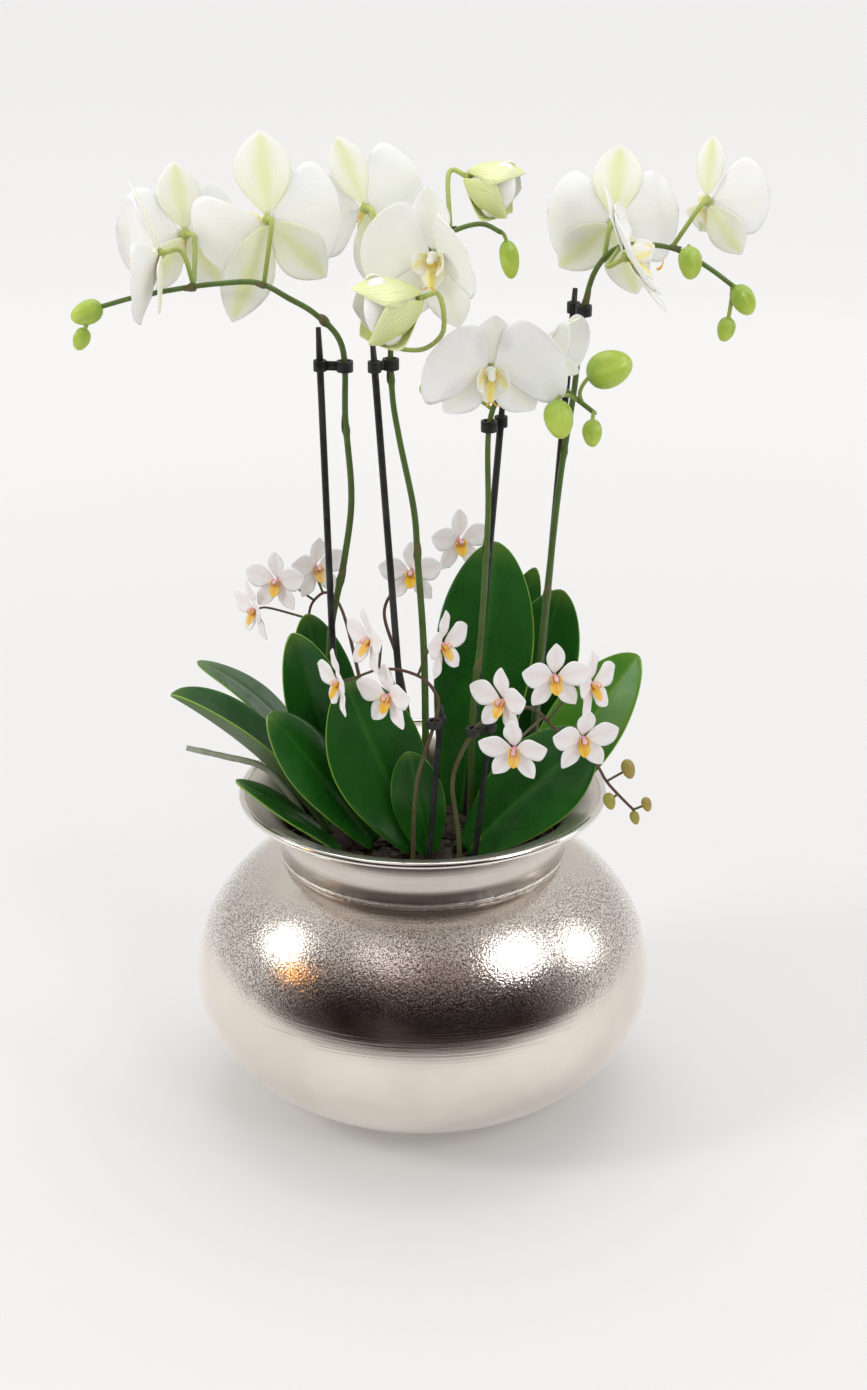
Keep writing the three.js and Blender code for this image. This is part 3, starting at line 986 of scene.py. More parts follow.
@dataclass(frozen=True)
class MetalFinish:
    """The urn's white metal.

    Attributes:
        name: the material's name.
        body: its colour.
        tarnish: the colour of duller patches.
        surface: how it was finished.
        rough: how matt it is.
    """

    name: str
    body: Colour
    tarnish: Colour
    surface: Surface
    rough: float

    def build(self, shared: Shared) -> bpy.types.Material:
        """Makes the material.

        Args:
            shared: the shared groups.

        Returns:
            The material.
        """
        material, graph, surface = start_material(self.name)
        place = graph.add("ShaderNodeTexCoord").outputs["Object"]
        height_above = graph.add("ShaderNodeSeparateXYZ", Vector=place).outputs["Z"]
        cloud = graph.group(shared.cloud, Place=place, Scale=14.0)
        lines = graph.group(shared.scratches, Place=place)
        grain = graph.group(shared.grain, Place=place, Scale=680.0 if self.surface is Surface.CAST else 900.0)
        if self.surface is Surface.CAST:
            ragged = graph.times(graph.minus(graph.noise(place, 16.0, 4.0), 0.5), 0.04)
            level = graph.plus(height_above, ragged)
            pebbled = graph.times(graph.ramp(level, 0.108, 0.128), graph.ramp(level, 0.176, 0.150))
        else:
            pebbled = graph.times(
                grain.outputs["Peaks and painted glints"], {"weld": 1.0, "turned": 0.12, "polished": 0.0}[self.surface.value]
            )
        colour = graph.mix(graph.times(cloud.outputs["Mask"], 0.35), paint(self.body), paint(self.tarnish))
        colour = graph.mix(graph.times(lines.outputs["Lines"], 0.15), colour, paint(self.tarnish))
        # Painted shade: near-black colour in the hollows of the grain, for the dark specks its relief would
        # show.
        painted_pit_shade = graph.times(grain.outputs["Painted pit shade"], graph.times(pebbled, 0.85))
        colour = graph.mix(painted_pit_shade, colour, paint((0.10, 0.075, 0.065)))
        # Painted glints: near-white colour on the peaks of the grain, for the bright specks its relief would
        # show.
        painted_glints = graph.times(grain.outputs["Peaks and painted glints"], graph.times(pebbled, 0.9))
        colour = graph.mix(painted_glints, colour, paint((0.98, 0.95, 0.92)))
        rough = graph.plus(self.rough, graph.times(cloud.outputs["Mask"], 0.06))
        rough = graph.plus(rough, graph.times(pebbled, 0.05))
        normal = graph.bump(graph.times(lines.outputs["Lines"], graph.minus(1.0, pebbled)), 0.45, 0.0003)
        normal = graph.bump(graph.times(grain.outputs["Height"], pebbled), 0.38, 0.0005, normal)
        apply(graph, surface, Base_Color=colour, Metallic=1.0, Roughness=rough, Normal=normal)
        return material


@dataclass(frozen=True)
class PlainFinish:
    """Moulded plastic or bark.

    Attributes:
        name: the material's name.
        body: its colour.
        light: the colour of rubbed or dry spots.
        light_share: how strong they are.
        rough: how matt it is.
        relief: height of its surface, in metres.
        scale: how fine its surface is.
    """

    name: str
    body: Colour
    light: Colour
    light_share: float
    rough: float
    relief: float
    scale: float

    def build(self, shared: Shared) -> bpy.types.Material:
        """Makes the material.

        Args:
            shared: the shared groups.

        Returns:
            The material.
        """
        material, graph, surface = start_material(self.name)
        place = graph.add("ShaderNodeTexCoord").outputs["Object"]
        cloud = graph.group(shared.cloud, Place=place, Scale=self.scale)
        flecks = graph.group(shared.speckle, Place=place, Scale=self.scale * 6, Amount=0.25)
        fine = graph.noise(place, self.scale * 9, 4.0)
        colour = graph.mix(
            graph.times(cloud.outputs["Mask"], self.light_share), paint(self.body), paint(self.light)
        )
        colour = graph.mix(
            graph.times(flecks.outputs["Mask"], self.light_share * 0.6), colour, paint(self.light)
        )
        apply(
            graph,
            surface,
            Base_Color=colour,
            Roughness=graph.ramp(fine, 0.2, 0.8, self.rough, min(1.0, self.rough + 0.2)),
            Normal=graph.bump(fine, 0.5, self.relief),
            Specular_IOR_Level=0.35,
        )
        return material


class Finishes:
    """Every material of the arrangement, made once and shared."""

    def __init__(self) -> None:
        """Builds them all."""
        shared = Shared()
        white = (0.95, 0.95, 0.935)
        lime = (0.52, 0.62, 0.08)
        self.petal_front = PetalFinish(
            "petal face", white, (0.94, 0.94, 0.84), (0.86, 0.86, 0.82), 0.3, 0.12
        ).build(shared)
        self.petal_back = PetalFinish(
            "petal back", white, (0.90, 0.90, 0.70), (0.82, 0.82, 0.70), 0.4, 0.14
        ).build(shared)
        self.sepal_front = PetalFinish(
            "sepal face", white, (0.88, 0.90, 0.58), (0.80, 0.83, 0.60), 0.5, 0.14
        ).build(shared)
        self.sepal_back = PetalFinish(
            "sepal back", (0.92, 0.92, 0.80), (0.72, 0.77, 0.24), (0.66, 0.72, 0.30), 0.85, 0.18
        ).build(shared)
        self.lime_front = PetalFinish(
            "young sepal face", (0.80, 0.83, 0.42), lime, (0.45, 0.56, 0.08), 0.7, 0.35
        ).build(shared)
        self.lime_back = PetalFinish(
            "young sepal back", (0.82, 0.86, 0.42), (0.55, 0.66, 0.12), (0.42, 0.55, 0.08), 0.75, 0.35
        ).build(shared)
        self.lip_side = PetalFinish(
            "lip side lobe", (0.96, 0.96, 0.92), (0.97, 0.80, 0.01), (0.90, 0.55, 0.03), 0.8, 0.1,
            spots_share=0.4,
        ).build(shared)
        self.lip_middle = PetalFinish(
            "lip middle lobe", (0.95, 0.94, 0.78), (0.97, 0.74, 0.0), (0.90, 0.45, 0.01), 1.0, 0.12,
            spots_share=0.5,
        ).build(shared)
        self.callus = StemFinish(
            "lip knob", (0.92, 0.60, 0.02), (0.94, 0.74, 0.10), (0.66, 0.10, 0.01), 0.6
        ).build(shared)
        self.column = StemFinish(
            "flower column", (0.90, 0.91, 0.72), (0.95, 0.94, 0.90), (0.88, 0.82, 0.76), 0.2
        ).build(shared)
        self.small_front = PetalFinish(
            "small petal face", (0.95, 0.93, 0.91), (0.88, 0.60, 0.60), (0.90, 0.78, 0.76), 0.4, 0.18,
            (0.94, 0.86, 0.84), 0.3,
        ).build(shared)
        self.small_back = PetalFinish(
            "small petal back", (0.90, 0.85, 0.80), (0.84, 0.62, 0.58), (0.82, 0.64, 0.60), 0.6, 0.25,
            (0.88, 0.72, 0.68), 0.4,
        ).build(shared)
        self.small_lip = PetalFinish(
            "small lip", (0.92, 0.56, 0.02), (0.88, 0.32, 0.01), (0.66, 0.10, 0.02), 0.8, 0.3, spots_share=0.8
        ).build(shared)
        self.small_column = StemFinish(
            "small column", (0.80, 0.30, 0.38), (0.90, 0.72, 0.70), (0.66, 0.16, 0.26)
        ).build(shared)
        self.stem = StemFinish(
            "tall stem", (0.030, 0.105, 0.012), (0.11, 0.20, 0.03), (0.075, 0.075, 0.02), 0.45
        ).build(shared)
        self.pedicel = StemFinish(
            "flower stalk", (0.16, 0.26, 0.03), (0.50, 0.58, 0.16), (0.30, 0.30, 0.06), 0.3
        ).build(shared)
        self.bract = StemFinish(
            "bract", (0.10, 0.12, 0.03), (0.20, 0.15, 0.06), (0.07, 0.05, 0.02), 0.5, 0.6
        ).build(shared)
        self.bud = StemFinish(
            "bud", (0.20, 0.36, 0.02), (0.46, 0.60, 0.05), (0.58, 0.68, 0.16), 0.4, 0.32
        ).build(shared)
        self.small_stem = StemFinish(
            "small stem", (0.06, 0.14, 0.02), (0.13, 0.055, 0.045), (0.09, 0.035, 0.03), 0.6
        ).build(shared)
        self.small_bud = StemFinish(
            "small bud", (0.26, 0.27, 0.03), (0.42, 0.38, 0.06), (0.34, 0.16, 0.06), 0.4
        ).build(shared)
        self.root = StemFinish(
            "aerial root", (0.30, 0.33, 0.24), (0.42, 0.44, 0.36), (0.20, 0.24, 0.14), 0.6, 0.8, 0.5
        ).build(shared)
        self.leaf_top = LeafFinish(
            "leaf top", (0.003, 0.060, 0.003), (0.014, 0.15, 0.005), (0.030, 0.16, 0.010), 0.26
        ).build(shared)
        self.leaf_under = LeafFinish(
            "leaf underside", (0.055, 0.12, 0.03), (0.11, 0.19, 0.05), (0.12, 0.20, 0.06), 0.5, 0.5, 0.0
        ).build(shared)
        self.leaf_young = LeafFinish(
            "young leaf top", (0.035, 0.17, 0.006), (0.10, 0.30, 0.015), (0.14, 0.30, 0.03), 0.3
        ).build(shared)
        self.cast = MetalFinish(
            "cast metal", (0.76, 0.70, 0.64), (0.56, 0.49, 0.44), Surface.CAST, 0.11
        ).build(shared)
        self.turned = MetalFinish(
            "turned metal", (0.66, 0.61, 0.56), (0.48, 0.43, 0.39), Surface.TURNED, 0.30
        ).build(shared)
        self.weld = MetalFinish(
            "weld bead", (0.70, 0.66, 0.62), (0.40, 0.36, 0.33), Surface.WELD, 0.36
        ).build(shared)
        self.polished = MetalFinish(
            "polished lip", (0.80, 0.77, 0.74), (0.64, 0.60, 0.57), Surface.POLISHED, 0.1
        ).build(shared)
        self.plastic = PlainFinish(
            "black plastic", (0.012, 0.012, 0.013), (0.05, 0.05, 0.05), 0.5, 0.36, 0.0001, 60.0
        ).build(shared)
        self.bark = PlainFinish(
            "bark", (0.012, 0.007, 0.005), (0.055, 0.032, 0.018), 0.55, 0.55, 0.0012, 45.0
        ).build(shared)


# ---------------------------------------------------------------- urn and bark


@dataclass(frozen=True)
class UrnSize:
    """The urn's outline, in millimetres.

    Attributes:
        wide: largest radius of the bowl.
        waist: height of that radius.
        below: half-height of the lower ellipse.
        above: half-height of the upper ellipse.
        throat: radius at the seam.
        rim: radius at the lip.
        top: height of the lip.
        wall: thickness of the metal.
    """

    wide: float = 150.0
    waist: float = 87.0
    below: float = 96.0
    above: float = 109.0
    throat: float = 92.7
    rim: float = 119.5
    top: float = 215.0
    wall: float = 3.0

    @property
    def seam(self) -> float:
        """Height of the join between bowl and collar."""
        return self.waist + self.above * math.sin(math.acos(self.throat / self.wide))

    def bowl_line(self, inset: float, steps: int) -> list[tuple[float, float]]:
        """Half the bowl's outline from its base to the seam.

        Args:
            inset: how far inside the outer skin.
            steps: segments on each of the two arcs.

        Returns:
            Radius and height pairs.
        """
        wide, below, above = self.wide - inset, self.below - inset, self.above - inset
        low = -math.asin((self.waist - inset) / below)
        high = math.asin((self.seam - self.waist) / above)
        line = []
        for start, end, reach in ((low, 0.0, below), (0.0, high, above)):
            for i in range(steps + 1):
                angle = start + (end - start) * i / steps
                line.append((wide * math.cos(angle), self.waist + reach * math.sin(angle)))
        del line[steps]
        return [(0.0, inset), *line]

    def collar_line(self) -> list[tuple[float, float]]:
        """The collar's closed outline, outside then inside.

        Returns:
            Radius and height pairs.
        """
        start = self.seam + GAP
        straight = start + 14
        outside, inside = [(self.throat, start)], []
        for i in range(15):
            share = i / 14
            climb = math.sin(math.pi / 2 * share)
            height = straight + (self.top - 2.2 - straight) * climb
            radius = self.throat + (self.rim - 2.4 - self.throat) * (1 - math.cos(math.pi / 2 * share))
            outside.append((radius, height))
            inside.insert(0, (radius - self.wall, height + 0.8 * share))
        return [*outside, *inside, (self.throat - self.wall, start)]


def spin_outline(outline: Sequence[tuple[float, float]], steps: int, closed: bool) -> bmesh.types.BMesh:
    """Turns an outline about the vertical axis.

    Args:
        outline: radius and height pairs.
        steps: facets round the axis.
        closed: join the last point to the first.

    Returns:
        The turned mesh.
    """
    mesh = new_mesh()
    verts = [mesh.verts.new((radius, 0.0, height)) for radius, height in outline]
    ends = zip(verts, verts[1:] + verts[:1]) if closed else zip(verts, verts[1:])
    edges = [mesh.edges.new(pair) for pair in ends]
    bmesh.ops.spin(
        mesh, geom=[*verts, *edges], axis=(0, 0, 1), cent=(0, 0, 0), angle=math.tau, steps=steps,
        use_merge=True,
    )
    bmesh.ops.remove_doubles(mesh, verts=mesh.verts, dist=1e-4)
    return mesh


@dataclass(frozen=True)
class Urn:
    """The metal urn: bowl, weld bead, collar and rolled lip.

    Attributes:
        size: its outline.
        facets: facets round the axis.
    """

    size: UrnSize = field(default_factory=UrnSize)
    facets: int = 144

    def build(self, looks: Finishes) -> None:
        """Builds the urn's pieces.

        Args:
            looks: the shared materials.
        """
        outer = self.size.bowl_line(0.0, 22)
        inner = self.size.bowl_line(self.size.wall, 12)
        bowl = spin_outline([*outer, *reversed(inner)], self.facets, False)
        make_piece("urn_bowl", bowl, [looks.cast], ["pot_bowl"])
        collar = spin_outline(self.size.collar_line(), self.facets, True)
        make_piece("urn_collar", collar, [looks.turned], ["pot_collar"])
        self.bead(looks)
        self.lip(looks)

    def ring(self, radius: float, height: float, thick: float, facets: int) -> bmesh.types.BMesh:
        """A round ring about the axis.

        Args:
            radius: to the middle of its section.
            height: of that middle.
            thick: radius of the section.
            facets: facets round the axis.

        Returns:
            The mesh.
        """
        section = [
            (radius + thick * math.cos(math.tau * i / 12), height + thick * math.sin(math.tau * i / 12))
            for i in range(12)
        ]
        return spin_outline(section, facets, True)

    def bead(self, looks: Finishes) -> None:
        """The rough weld bead at the seam.

        Args:
            looks: the shared materials.
        """
        mesh = self.ring(self.size.throat - 0.1, self.size.seam + 0.9, 1.15, 480)
        for vert in mesh.verts:
            lump = noise.noise(vert.co * 0.3) * 0.35 + noise.noise(vert.co * 0.9) * 0.6
            out = Vector((vert.co.x, vert.co.y, 0)).normalized()
            vert.co += out * lump + Vector((0, 0, 0.35 * noise.noise(vert.co * 0.5)))
        make_piece("urn_weld_bead", mesh, [looks.weld])

    def lip(self, looks: Finishes) -> None:
        """The thin rolled lip.

        Args:
            looks: the shared materials.
        """
        mesh = self.ring(self.size.rim - 2.5, self.size.top - 2.3, 2.3, self.facets)
        make_piece("urn_lip", mesh, [looks.polished])


@dataclass(frozen=True)
class BarkBed:
    """Loose bark in the urn's throat.

    Attributes:
        radius: how far it reaches.
        edge: its height at the wall.
        middle: its height at the axis.
        chips: how many loose chips lie on it.
        seed: fixes their places.
    """

    radius: float = 88.6
    edge: float = 177.0
    middle: float = 183.0
    chips: int = 460
    seed: int = 7

    def height(self, away: float) -> float:
        """Height of the bed.

        Args:
            away: distance from the axis.

        Returns:
            Its height.
        """
        return self.middle + (self.edge - self.middle) * (away / self.radius) ** 2

    def build(self, looks: Finishes) -> None:
        """Builds the bed and its chips.

        Args:
            looks: the shared materials.
        """
        bed = new_mesh()
        bmesh.ops.create_grid(bed, x_segments=90, y_segments=90, size=self.radius)
        for vert in bed.verts:
            reach = max(abs(vert.co.x), abs(vert.co.y)) / max(1e-6, vert.co.xy.length)
            vert.co.x *= reach
            vert.co.y *= reach
            bump = 2.2 * noise.noise(vert.co * 0.11) + 1.2 * noise.noise(vert.co * 0.3)
            vert.co.z = self.height(vert.co.xy.length) - 2.5 + bump
        under = self.edge - 12
        made = bmesh.ops.extrude_face_region(bed, geom=bed.faces[:])["geom"]
        for item in made:
            if isinstance(item, bmesh.types.BMVert):
                item.co.z = under
        make_piece("bark_bed", bed, [looks.bark], ["bark_mix"])
        luck = random.Random(self.seed)
        for layer in range(3):
            chips = new_mesh()
            for _ in range(self.chips // 3):
                self.add_chip(chips, luck, layer)
            make_piece(f"bark_chips_{layer + 1}", chips, [looks.bark], smooth=False)

    def add_chip(self, mesh: bmesh.types.BMesh, luck: random.Random, layer: int) -> None:
        """Adds one chip.

        Args:
            mesh: where it goes.
            luck: the random source.
            layer: 0 for the lowest.
        """
        along = mesh.verts.layers.float["along"]
        length, width, thick = luck.uniform(9, 24), luck.uniform(6, 13), luck.uniform(2.5, 5.5)
        away = (self.radius - 8) * math.sqrt(luck.random())
        angle = luck.uniform(0, math.tau)
        spot = Vector((away * math.cos(angle), away * math.sin(angle), self.height(away) - 1 + 1.6 * layer))
        turn = Matrix.Rotation(
            luck.uniform(0, math.tau), 4, "Z"
        ) @ Matrix.Rotation(luck.gauss(0, 0.35), 4, "X")
        turn = turn @ Matrix.Rotation(luck.gauss(0, 0.3), 4, "Y")
        made = bmesh.ops.create_uvsphere(mesh, u_segments=8, v_segments=5, radius=1.0)["verts"]
        shade = luck.random()
        for vert in made:
            block = Vector([math.copysign(abs(part) ** 0.55, part) for part in vert.co])
            pull = 0.5 * (1 + luck.uniform(-0.17, 0.17))
            vert[along] = shade
            vert.co = Vector((block.x * length, block.y * width, block.z * thick)) * pull
            vert.co = spot + turn @ vert.co
            flat = vert.co.xy.length
            if flat > self.radius:
                vert.co.xy *= self.radius / flat


# ---------------------------------------------------------------- flowers


@dataclass(frozen=True)
class Stance:
    """Where a flower stands.

    Attributes:
        centre: its middle.
        turn: 0 faces the front, 90 the right.
        nod: how far it tips down.
        size: its scale.
        roll: how far it is spun about its face.
    """

    centre: Point
    turn: float = 0.0
    nod: float = 10.0
    size: float = 1.0
    roll: float = 0.0

    def matrix(self) -> Matrix:
        """The place of a flower made facing +Z with its top towards +Y.

        Returns:
            A 4x4 matrix in millimetres.
        """
        return (
            Matrix.Translation(vec(self.centre))
            @ Matrix.Rotation(math.radians(self.turn), 4, "Z")
            @ Matrix.Rotation(math.radians(90 + self.nod), 4, "X")
            @ Matrix.Rotation(math.radians(self.roll), 4, "Z")
        )

    def behind(self, distance: float) -> Vector:
        """A point behind the flower.

        Args:
            distance: how far behind.

        Returns:
            The point.
        """
        return self.matrix() @ Vector((0, 0, -distance))


@dataclass(frozen=True)
class Hang:
    """How one petal or sepal differs from the usual one; None keeps the usual value.

    Attributes:
        angle: where it points, 90 is up.
        length: along it.
        width: across it.
        rise: how far it tips forward.
        curl: how far it bends.
    """

    angle: float | None = None
    length: float | None = None
    width: float | None = None
    rise: float | None = None
    curl: float | None = None

    def over(self, usual: "Hang") -> "Hang":
        """This one with its gaps filled.

        Args:
            usual: gives what is None here.

        Returns:
            A petal's whole hang.
        """
        own = {key: value for key, value in asdict(self).items() if value is not None}
        return replace(usual, **own)


USUAL = Hang()
DORSAL = Hang(90, 46, 33)
LOW_LEFT = Hang(232, 46, 29)
LOW_RIGHT = Hang(308, 46, 29)
LEFT = Hang(172, 44, 58)
RIGHT = Hang(8, 44, 58)
RECEPTACLE = 4.2  # radius of the knob behind a flower
PETAL = 0.55  # thickness of a petal
YOUNG_SEPAL = Hang(width=56.0, length=49.0)
YOUNG_PETAL = Hang(width=44.0, length=42.0)
STATIONS = 132  # rings along a tall stem
JOINT_STEPS = 22
FLOWERING = 76  # the first ring that may carry a flower
SEPAL_SHAPE = Blade(
    1, 1, neck=0.08, peak=0.55, blunt=0.75, cup=0.1, start=2.8, ruffle=0.35, groove=0.5, rows=20, columns=12
)
PETAL_SHAPE = Blade(
    1, 1, neck=0.05, peak=0.62, blunt=0.5, cup=0.12, start=2.8, ruffle=0.9, groove=0.4, rows=22, columns=18
)


@dataclass(frozen=True)
class Bloom:
    """One large flower.

    Attributes:
        stance: where it stands.
        foot: where its stalk leaves the stem.
        opening: how far petals and sepals tip forward.
        curl: how far they bend.
        left, right, top, low_left, low_right: how each one hangs.
        lip: it shows its lip.
        young: its sepals are still green.
        wrap: how far the edges lift on a young flower.
        via: points that its stalk passes.
    """

    stance: Stance
    foot: Point
    opening: float = 8.0
    curl: float = 10.0
    left: Hang = USUAL
    right: Hang = USUAL
    top: Hang = USUAL
    low_left: Hang = USUAL
    low_right: Hang = USUAL
    lip: bool = True
    young: bool = False
    wrap: float = 0.45
    via: tuple[Point, ...] = ()

    def add_tepal(
        self, mesh: bmesh.types.BMesh, usual: Hang, own: Hang, shape: Blade, lift: float, phase: float
    ) -> None:
        """Adds one petal or sepal.

        Args:
            mesh: where it goes.
            usual: its usual angle, length and width.
            own: what differs.
            shape: its outline.
            lift: how far in front of the middle.
            phase: shifts the waves of its edge.
        """
        chosen = own.over(replace(usual, rise=self.opening, curl=self.curl))
        made = replace(
            shape,
            length=chosen.length * self.stance.size,
            width=chosen.width * self.stance.size,
            rise=chosen.rise,
            curl=chosen.curl,
            cup=self.wrap if self.young else shape.cup,
        )
        angle = math.radians(chosen.angle - 90)
        place = self.stance.matrix() @ Matrix.Translation((0, 0, lift)) @ Matrix.Rotation(angle, 4, "Z")
        made.add_to(mesh, place, phase=phase)

    def build(self, name: str, looks: Finishes, luck: random.Random) -> None:
        """Builds the flower's pieces.

        Args:
            name: of its CAD node.
            looks: the shared materials.
            luck: the random source.
        """
        sepals = new_mesh()
        for usual, own in ((DORSAL, self.top), (LOW_LEFT, self.low_left), (LOW_RIGHT, self.low_right)):
            outer = YOUNG_SEPAL.over(own) if self.young else own
            self.add_tepal(
                sepals, usual, outer, SEPAL_SHAPE, -3.4 if self.young else -1.3, luck.uniform(0, 6)
            )
        faces = [looks.lime_front, looks.lime_back] if self.young else [looks.sepal_front, looks.sepal_back]
        make_piece(f"{name}_sepals", sepals, faces, [name], Thickening(PETAL))
        petals = new_mesh()
        for usual, own in ((LEFT, self.left), (RIGHT, self.right)):
            inner = YOUNG_PETAL.over(own) if self.young else own
            self.add_tepal(petals, usual, inner, PETAL_SHAPE, 1.2, luck.uniform(0, 6))
        make_piece(
            f"{name}_petals", petals, [looks.petal_front, looks.petal_back], (), Thickening(PETAL)
        )
        heart = new_mesh()
        place = self.stance.matrix()
        add_ball(
            heart, place @ Vector((0, 0, -1.6)), RECEPTACLE * 0.78, 0.8, place.to_3x3() @ Vector((0, 0, -1))
        )
        make_piece(f"{name}_base", heart, [looks.pedicel])
        if self.lip:
            self.build_lip(name, looks, place)

    def build_lip(self, name: str, looks: Finishes, place: Matrix) -> None:
        """Builds the lip and the column.

        Args:
            name: of the flower's CAD node.
            looks: the shared materials.
            place: the flower's place.
        """
        size = self.stance.size
        lobes = new_mesh()
        side_lobe = Blade(
            20 * size, 15 * size, rise=42, curl=48, neck=0.16, peak=0.6, cup=0.3, start=2.2, ruffle=0.4
        )
        for side in (-1, 1):
            side_lobe.add_to(lobes, place @ Matrix.Rotation(side * math.radians(108), 4, "Z"))
        make_piece(f"{name}_lip_lobes", lobes, [looks.lip_side, looks.lip_side], (), Thickening(0.6))
        middle = new_mesh()
        front_lobe = Blade(
            21 * size, 16 * size, rise=48, curl=-54, neck=0.25, peak=0.5, blunt=0.85, fold=-0.35,
            start=2.2, groove=-0.6,
        )
        front_lobe.add_to(middle, place @ Matrix.Rotation(math.pi, 4, "Z"))
        make_piece(f"{name}_lip", middle, [looks.lip_middle, looks.lip_middle], (), Thickening(0.8))
        details = new_mesh()
        add_ball(
            details,
            place @ Vector((0, -3.2 * size, 5.6 * size)),
            1.9 * size,
            1.2,
            place.to_3x3() @ Vector((0, -0.4, 1)),
        )
        for side in (-1, 1):
            tendril = smooth_path(
                [
                    place @ Vector((side * 0.8, -15, 12)),
                    place @ Vector((side * 2.6 * size, -17.5 * size, 14.0 * size)),
                    place @ Vector((side * 4.2 * size, -16.0 * size, 18.0 * size)),
                    place @ Vector((side * 3.0 * size, -12.0 * size, 19.5 * size)),
                ],
                14,
            )
            add_sweep(details, tendril, lambda v: 0.55 * (1 - 0.75 * v), 6)
        make_piece(f"{name}_lip_knob", details, [looks.callus])
        column = new_mesh()
        path = smooth_path(
            [
                place @ Vector((0, 0, 1)),
                place @ Vector((0, 0.5, 5 * size)),
                place @ Vector((0, 0, 9.4 * size)),
            ],
            8,
        )
        add_sweep(column, path, lambda v: 2.6 + (2.5 * size - 2.6) * v, 12)
        add_ball(column, place @ Vector((0, 0, 1.6)), 3.7, 0.55, place.to_3x3() @ Vector((0, 0, 1)))
        add_ball(
            column,
            place @ Vector((0, -0.2, 9.6 * size)),
            2.4 * size,
            0.75,
            place.to_3x3() @ Vector((0, -0.3, 1)),
        )
        make_piece(f"{name}_column", column, [looks.column])


@dataclass(frozen=True)
class Bud:
    """A closed bud.

    Attributes:
        centre: its middle.
        radius: its half-width.
        towards: where its tip points.
        stretch: its length over its width.
    """

    centre: Point
    radius: float
    towards: Point
    stretch: float = 1.2


@dataclass(frozen=True)
class TallSpike:
    """A tall stem with its bracts, stalks, buds and flowers, its stake and its clip.

    Attributes:
        name: which of the tall spikes it is.
        path: points that the stem passes.
        thick: its radius at the foot.
        joints: shares of the way along with a ring, in 22nds.
        blooms: its flowers.
        buds: its buds.
        stake: foot and top of its stake.
        clip: height of the clip.
    """

    name: str
    path: tuple[Point, ...]
    thick: float
    joints: tuple[int, ...]
    blooms: tuple[Bloom, ...]
    buds: tuple[Bud, ...]
    stake: tuple[Point, Point]
    clip: float

    def build(self, looks: Finishes, luck: random.Random) -> None:
        """Builds every piece of the spike.

        Args:
            looks: the shared materials.
            luck: the random source.
        """
        rows = smooth_path([vec(point) for point in self.path], STATIONS)
        shares = [joint / JOINT_STEPS for joint in self.joints]

        def radius(v: float) -> float:
            swell = max((math.exp(-(((v - share) / 0.005) ** 2)) for share in shares), default=0.0)
            return (self.thick + (1.5 - self.thick) * v) * (1 + 0.32 * swell)

        stem = new_mesh()
        add_sweep(stem, rows, radius, 14)
        make_piece(f"spike_{self.name}_stem", stem, [looks.stem], [f"spike_{self.name}"])
        bracts = new_mesh()
        for i, share in enumerate(shares):
            self.add_bract(bracts, rows, round(share * STATIONS), 11.0, 180.0 * i + 40)
        upper = rows[FLOWERING:]
        stalks = new_mesh()
        for bloom in self.blooms:
            foot = nearest(upper, vec(bloom.foot))
            end, near = bloom.stance.behind(RECEPTACLE - 0.6), bloom.stance.behind(RECEPTACLE + 9)
            line = smooth_path([foot, *(vec(point) for point in bloom.via), near, end], 22)
            add_sweep(stalks, line, lambda v: 1.45 + 0.25 * v**3, 10)
            self.add_bract(bracts, rows, rows.index(foot), 7.0, luck.uniform(0, 360))
        make_piece(f"spike_{self.name}_stalks", stalks, [looks.pedicel])
        buds, bud_stalks = new_mesh(), new_mesh()
        for bud in self.buds:
            centre = vec(bud.centre)
            foot = nearest(upper, centre)
            tip = vec(bud.towards).normalized()
            back = centre - tip * bud.radius * bud.stretch * 0.9
            bend = foot.lerp(back, 0.5) - tip * min(4.0, 0.3 * (back - foot).length)
            add_sweep(bud_stalks, smooth_path([foot, bend, back, centre], 14), lambda v: 1.2 + 0.2 * v, 8)
            add_ball(buds, centre, bud.radius, bud.stretch, tip, 0.2, 0.22, 32)
        make_piece(f"spike_{self.name}_buds", buds, [looks.bud])
        make_piece(f"spike_{self.name}_bud_stalks", bud_stalks, [looks.pedicel])
        make_piece(f"spike_{self.name}_bracts", bracts, [looks.bract], (), Thickening(0.5, 0))
        for i, bloom in enumerate(self.blooms):
            bloom.build(f"flower_{self.name}_{i + 1}", looks, luck)
        self.support(looks, rows)

    def add_bract(
        self, mesh: bmesh.types.BMesh, rows: Sequence[Vector], row: int, length: float, spin: float
    ) -> None:
        """Adds the small papery scale at a joint.

        Args:
            mesh: where it goes.
            rows: the stem's stations.
            row: the station it grows from.
            length: of the scale.
            spin: its side of the stem, in degrees.
        """
        ahead = rows[min(len(rows) - 1, row + 1)] - rows[max(0, row - 1)]
        place = Matrix.Translation(rows[row]) @ upright(ahead) @ Matrix.Rotation(math.radians(spin), 4, "Z")
        lean = Matrix.Translation((0, -2.1, -1.0)) @ Matrix.Rotation(math.radians(86), 4, "X")
        scale = Blade(length, 6.2, curl=14, neck=0.75, peak=0.25, blunt=0.9, cup=-0.55, columns=6, rows=8)
        scale.add_to(mesh, place @ lean)

    def support(self, looks: Finishes, rows: Sequence[Vector]) -> None:
        """Builds the stake and the clip.

        Args:
            looks: the shared materials.
            rows: the stem's stations.
        """
        build_stake(f"stake_{self.name}", self.stake, 2.2, looks)
        build_clip(f"clip_{self.name}", self.stake, rows, self.clip, 2.2, 2.6, 7.0, looks)


def at_height(rows: Sequence[Vector], height: float) -> Vector:
    """Where a rising line passes a height.

    Args:
        rows: its stations.
        height: the height.

    Returns:
        The point.
    """
    above = next(i for i, row in enumerate(rows) if row.z > height)
    low, high = rows[above - 1], rows[above]
    return low.lerp(high, (height - low.z) / (high.z - low.z))


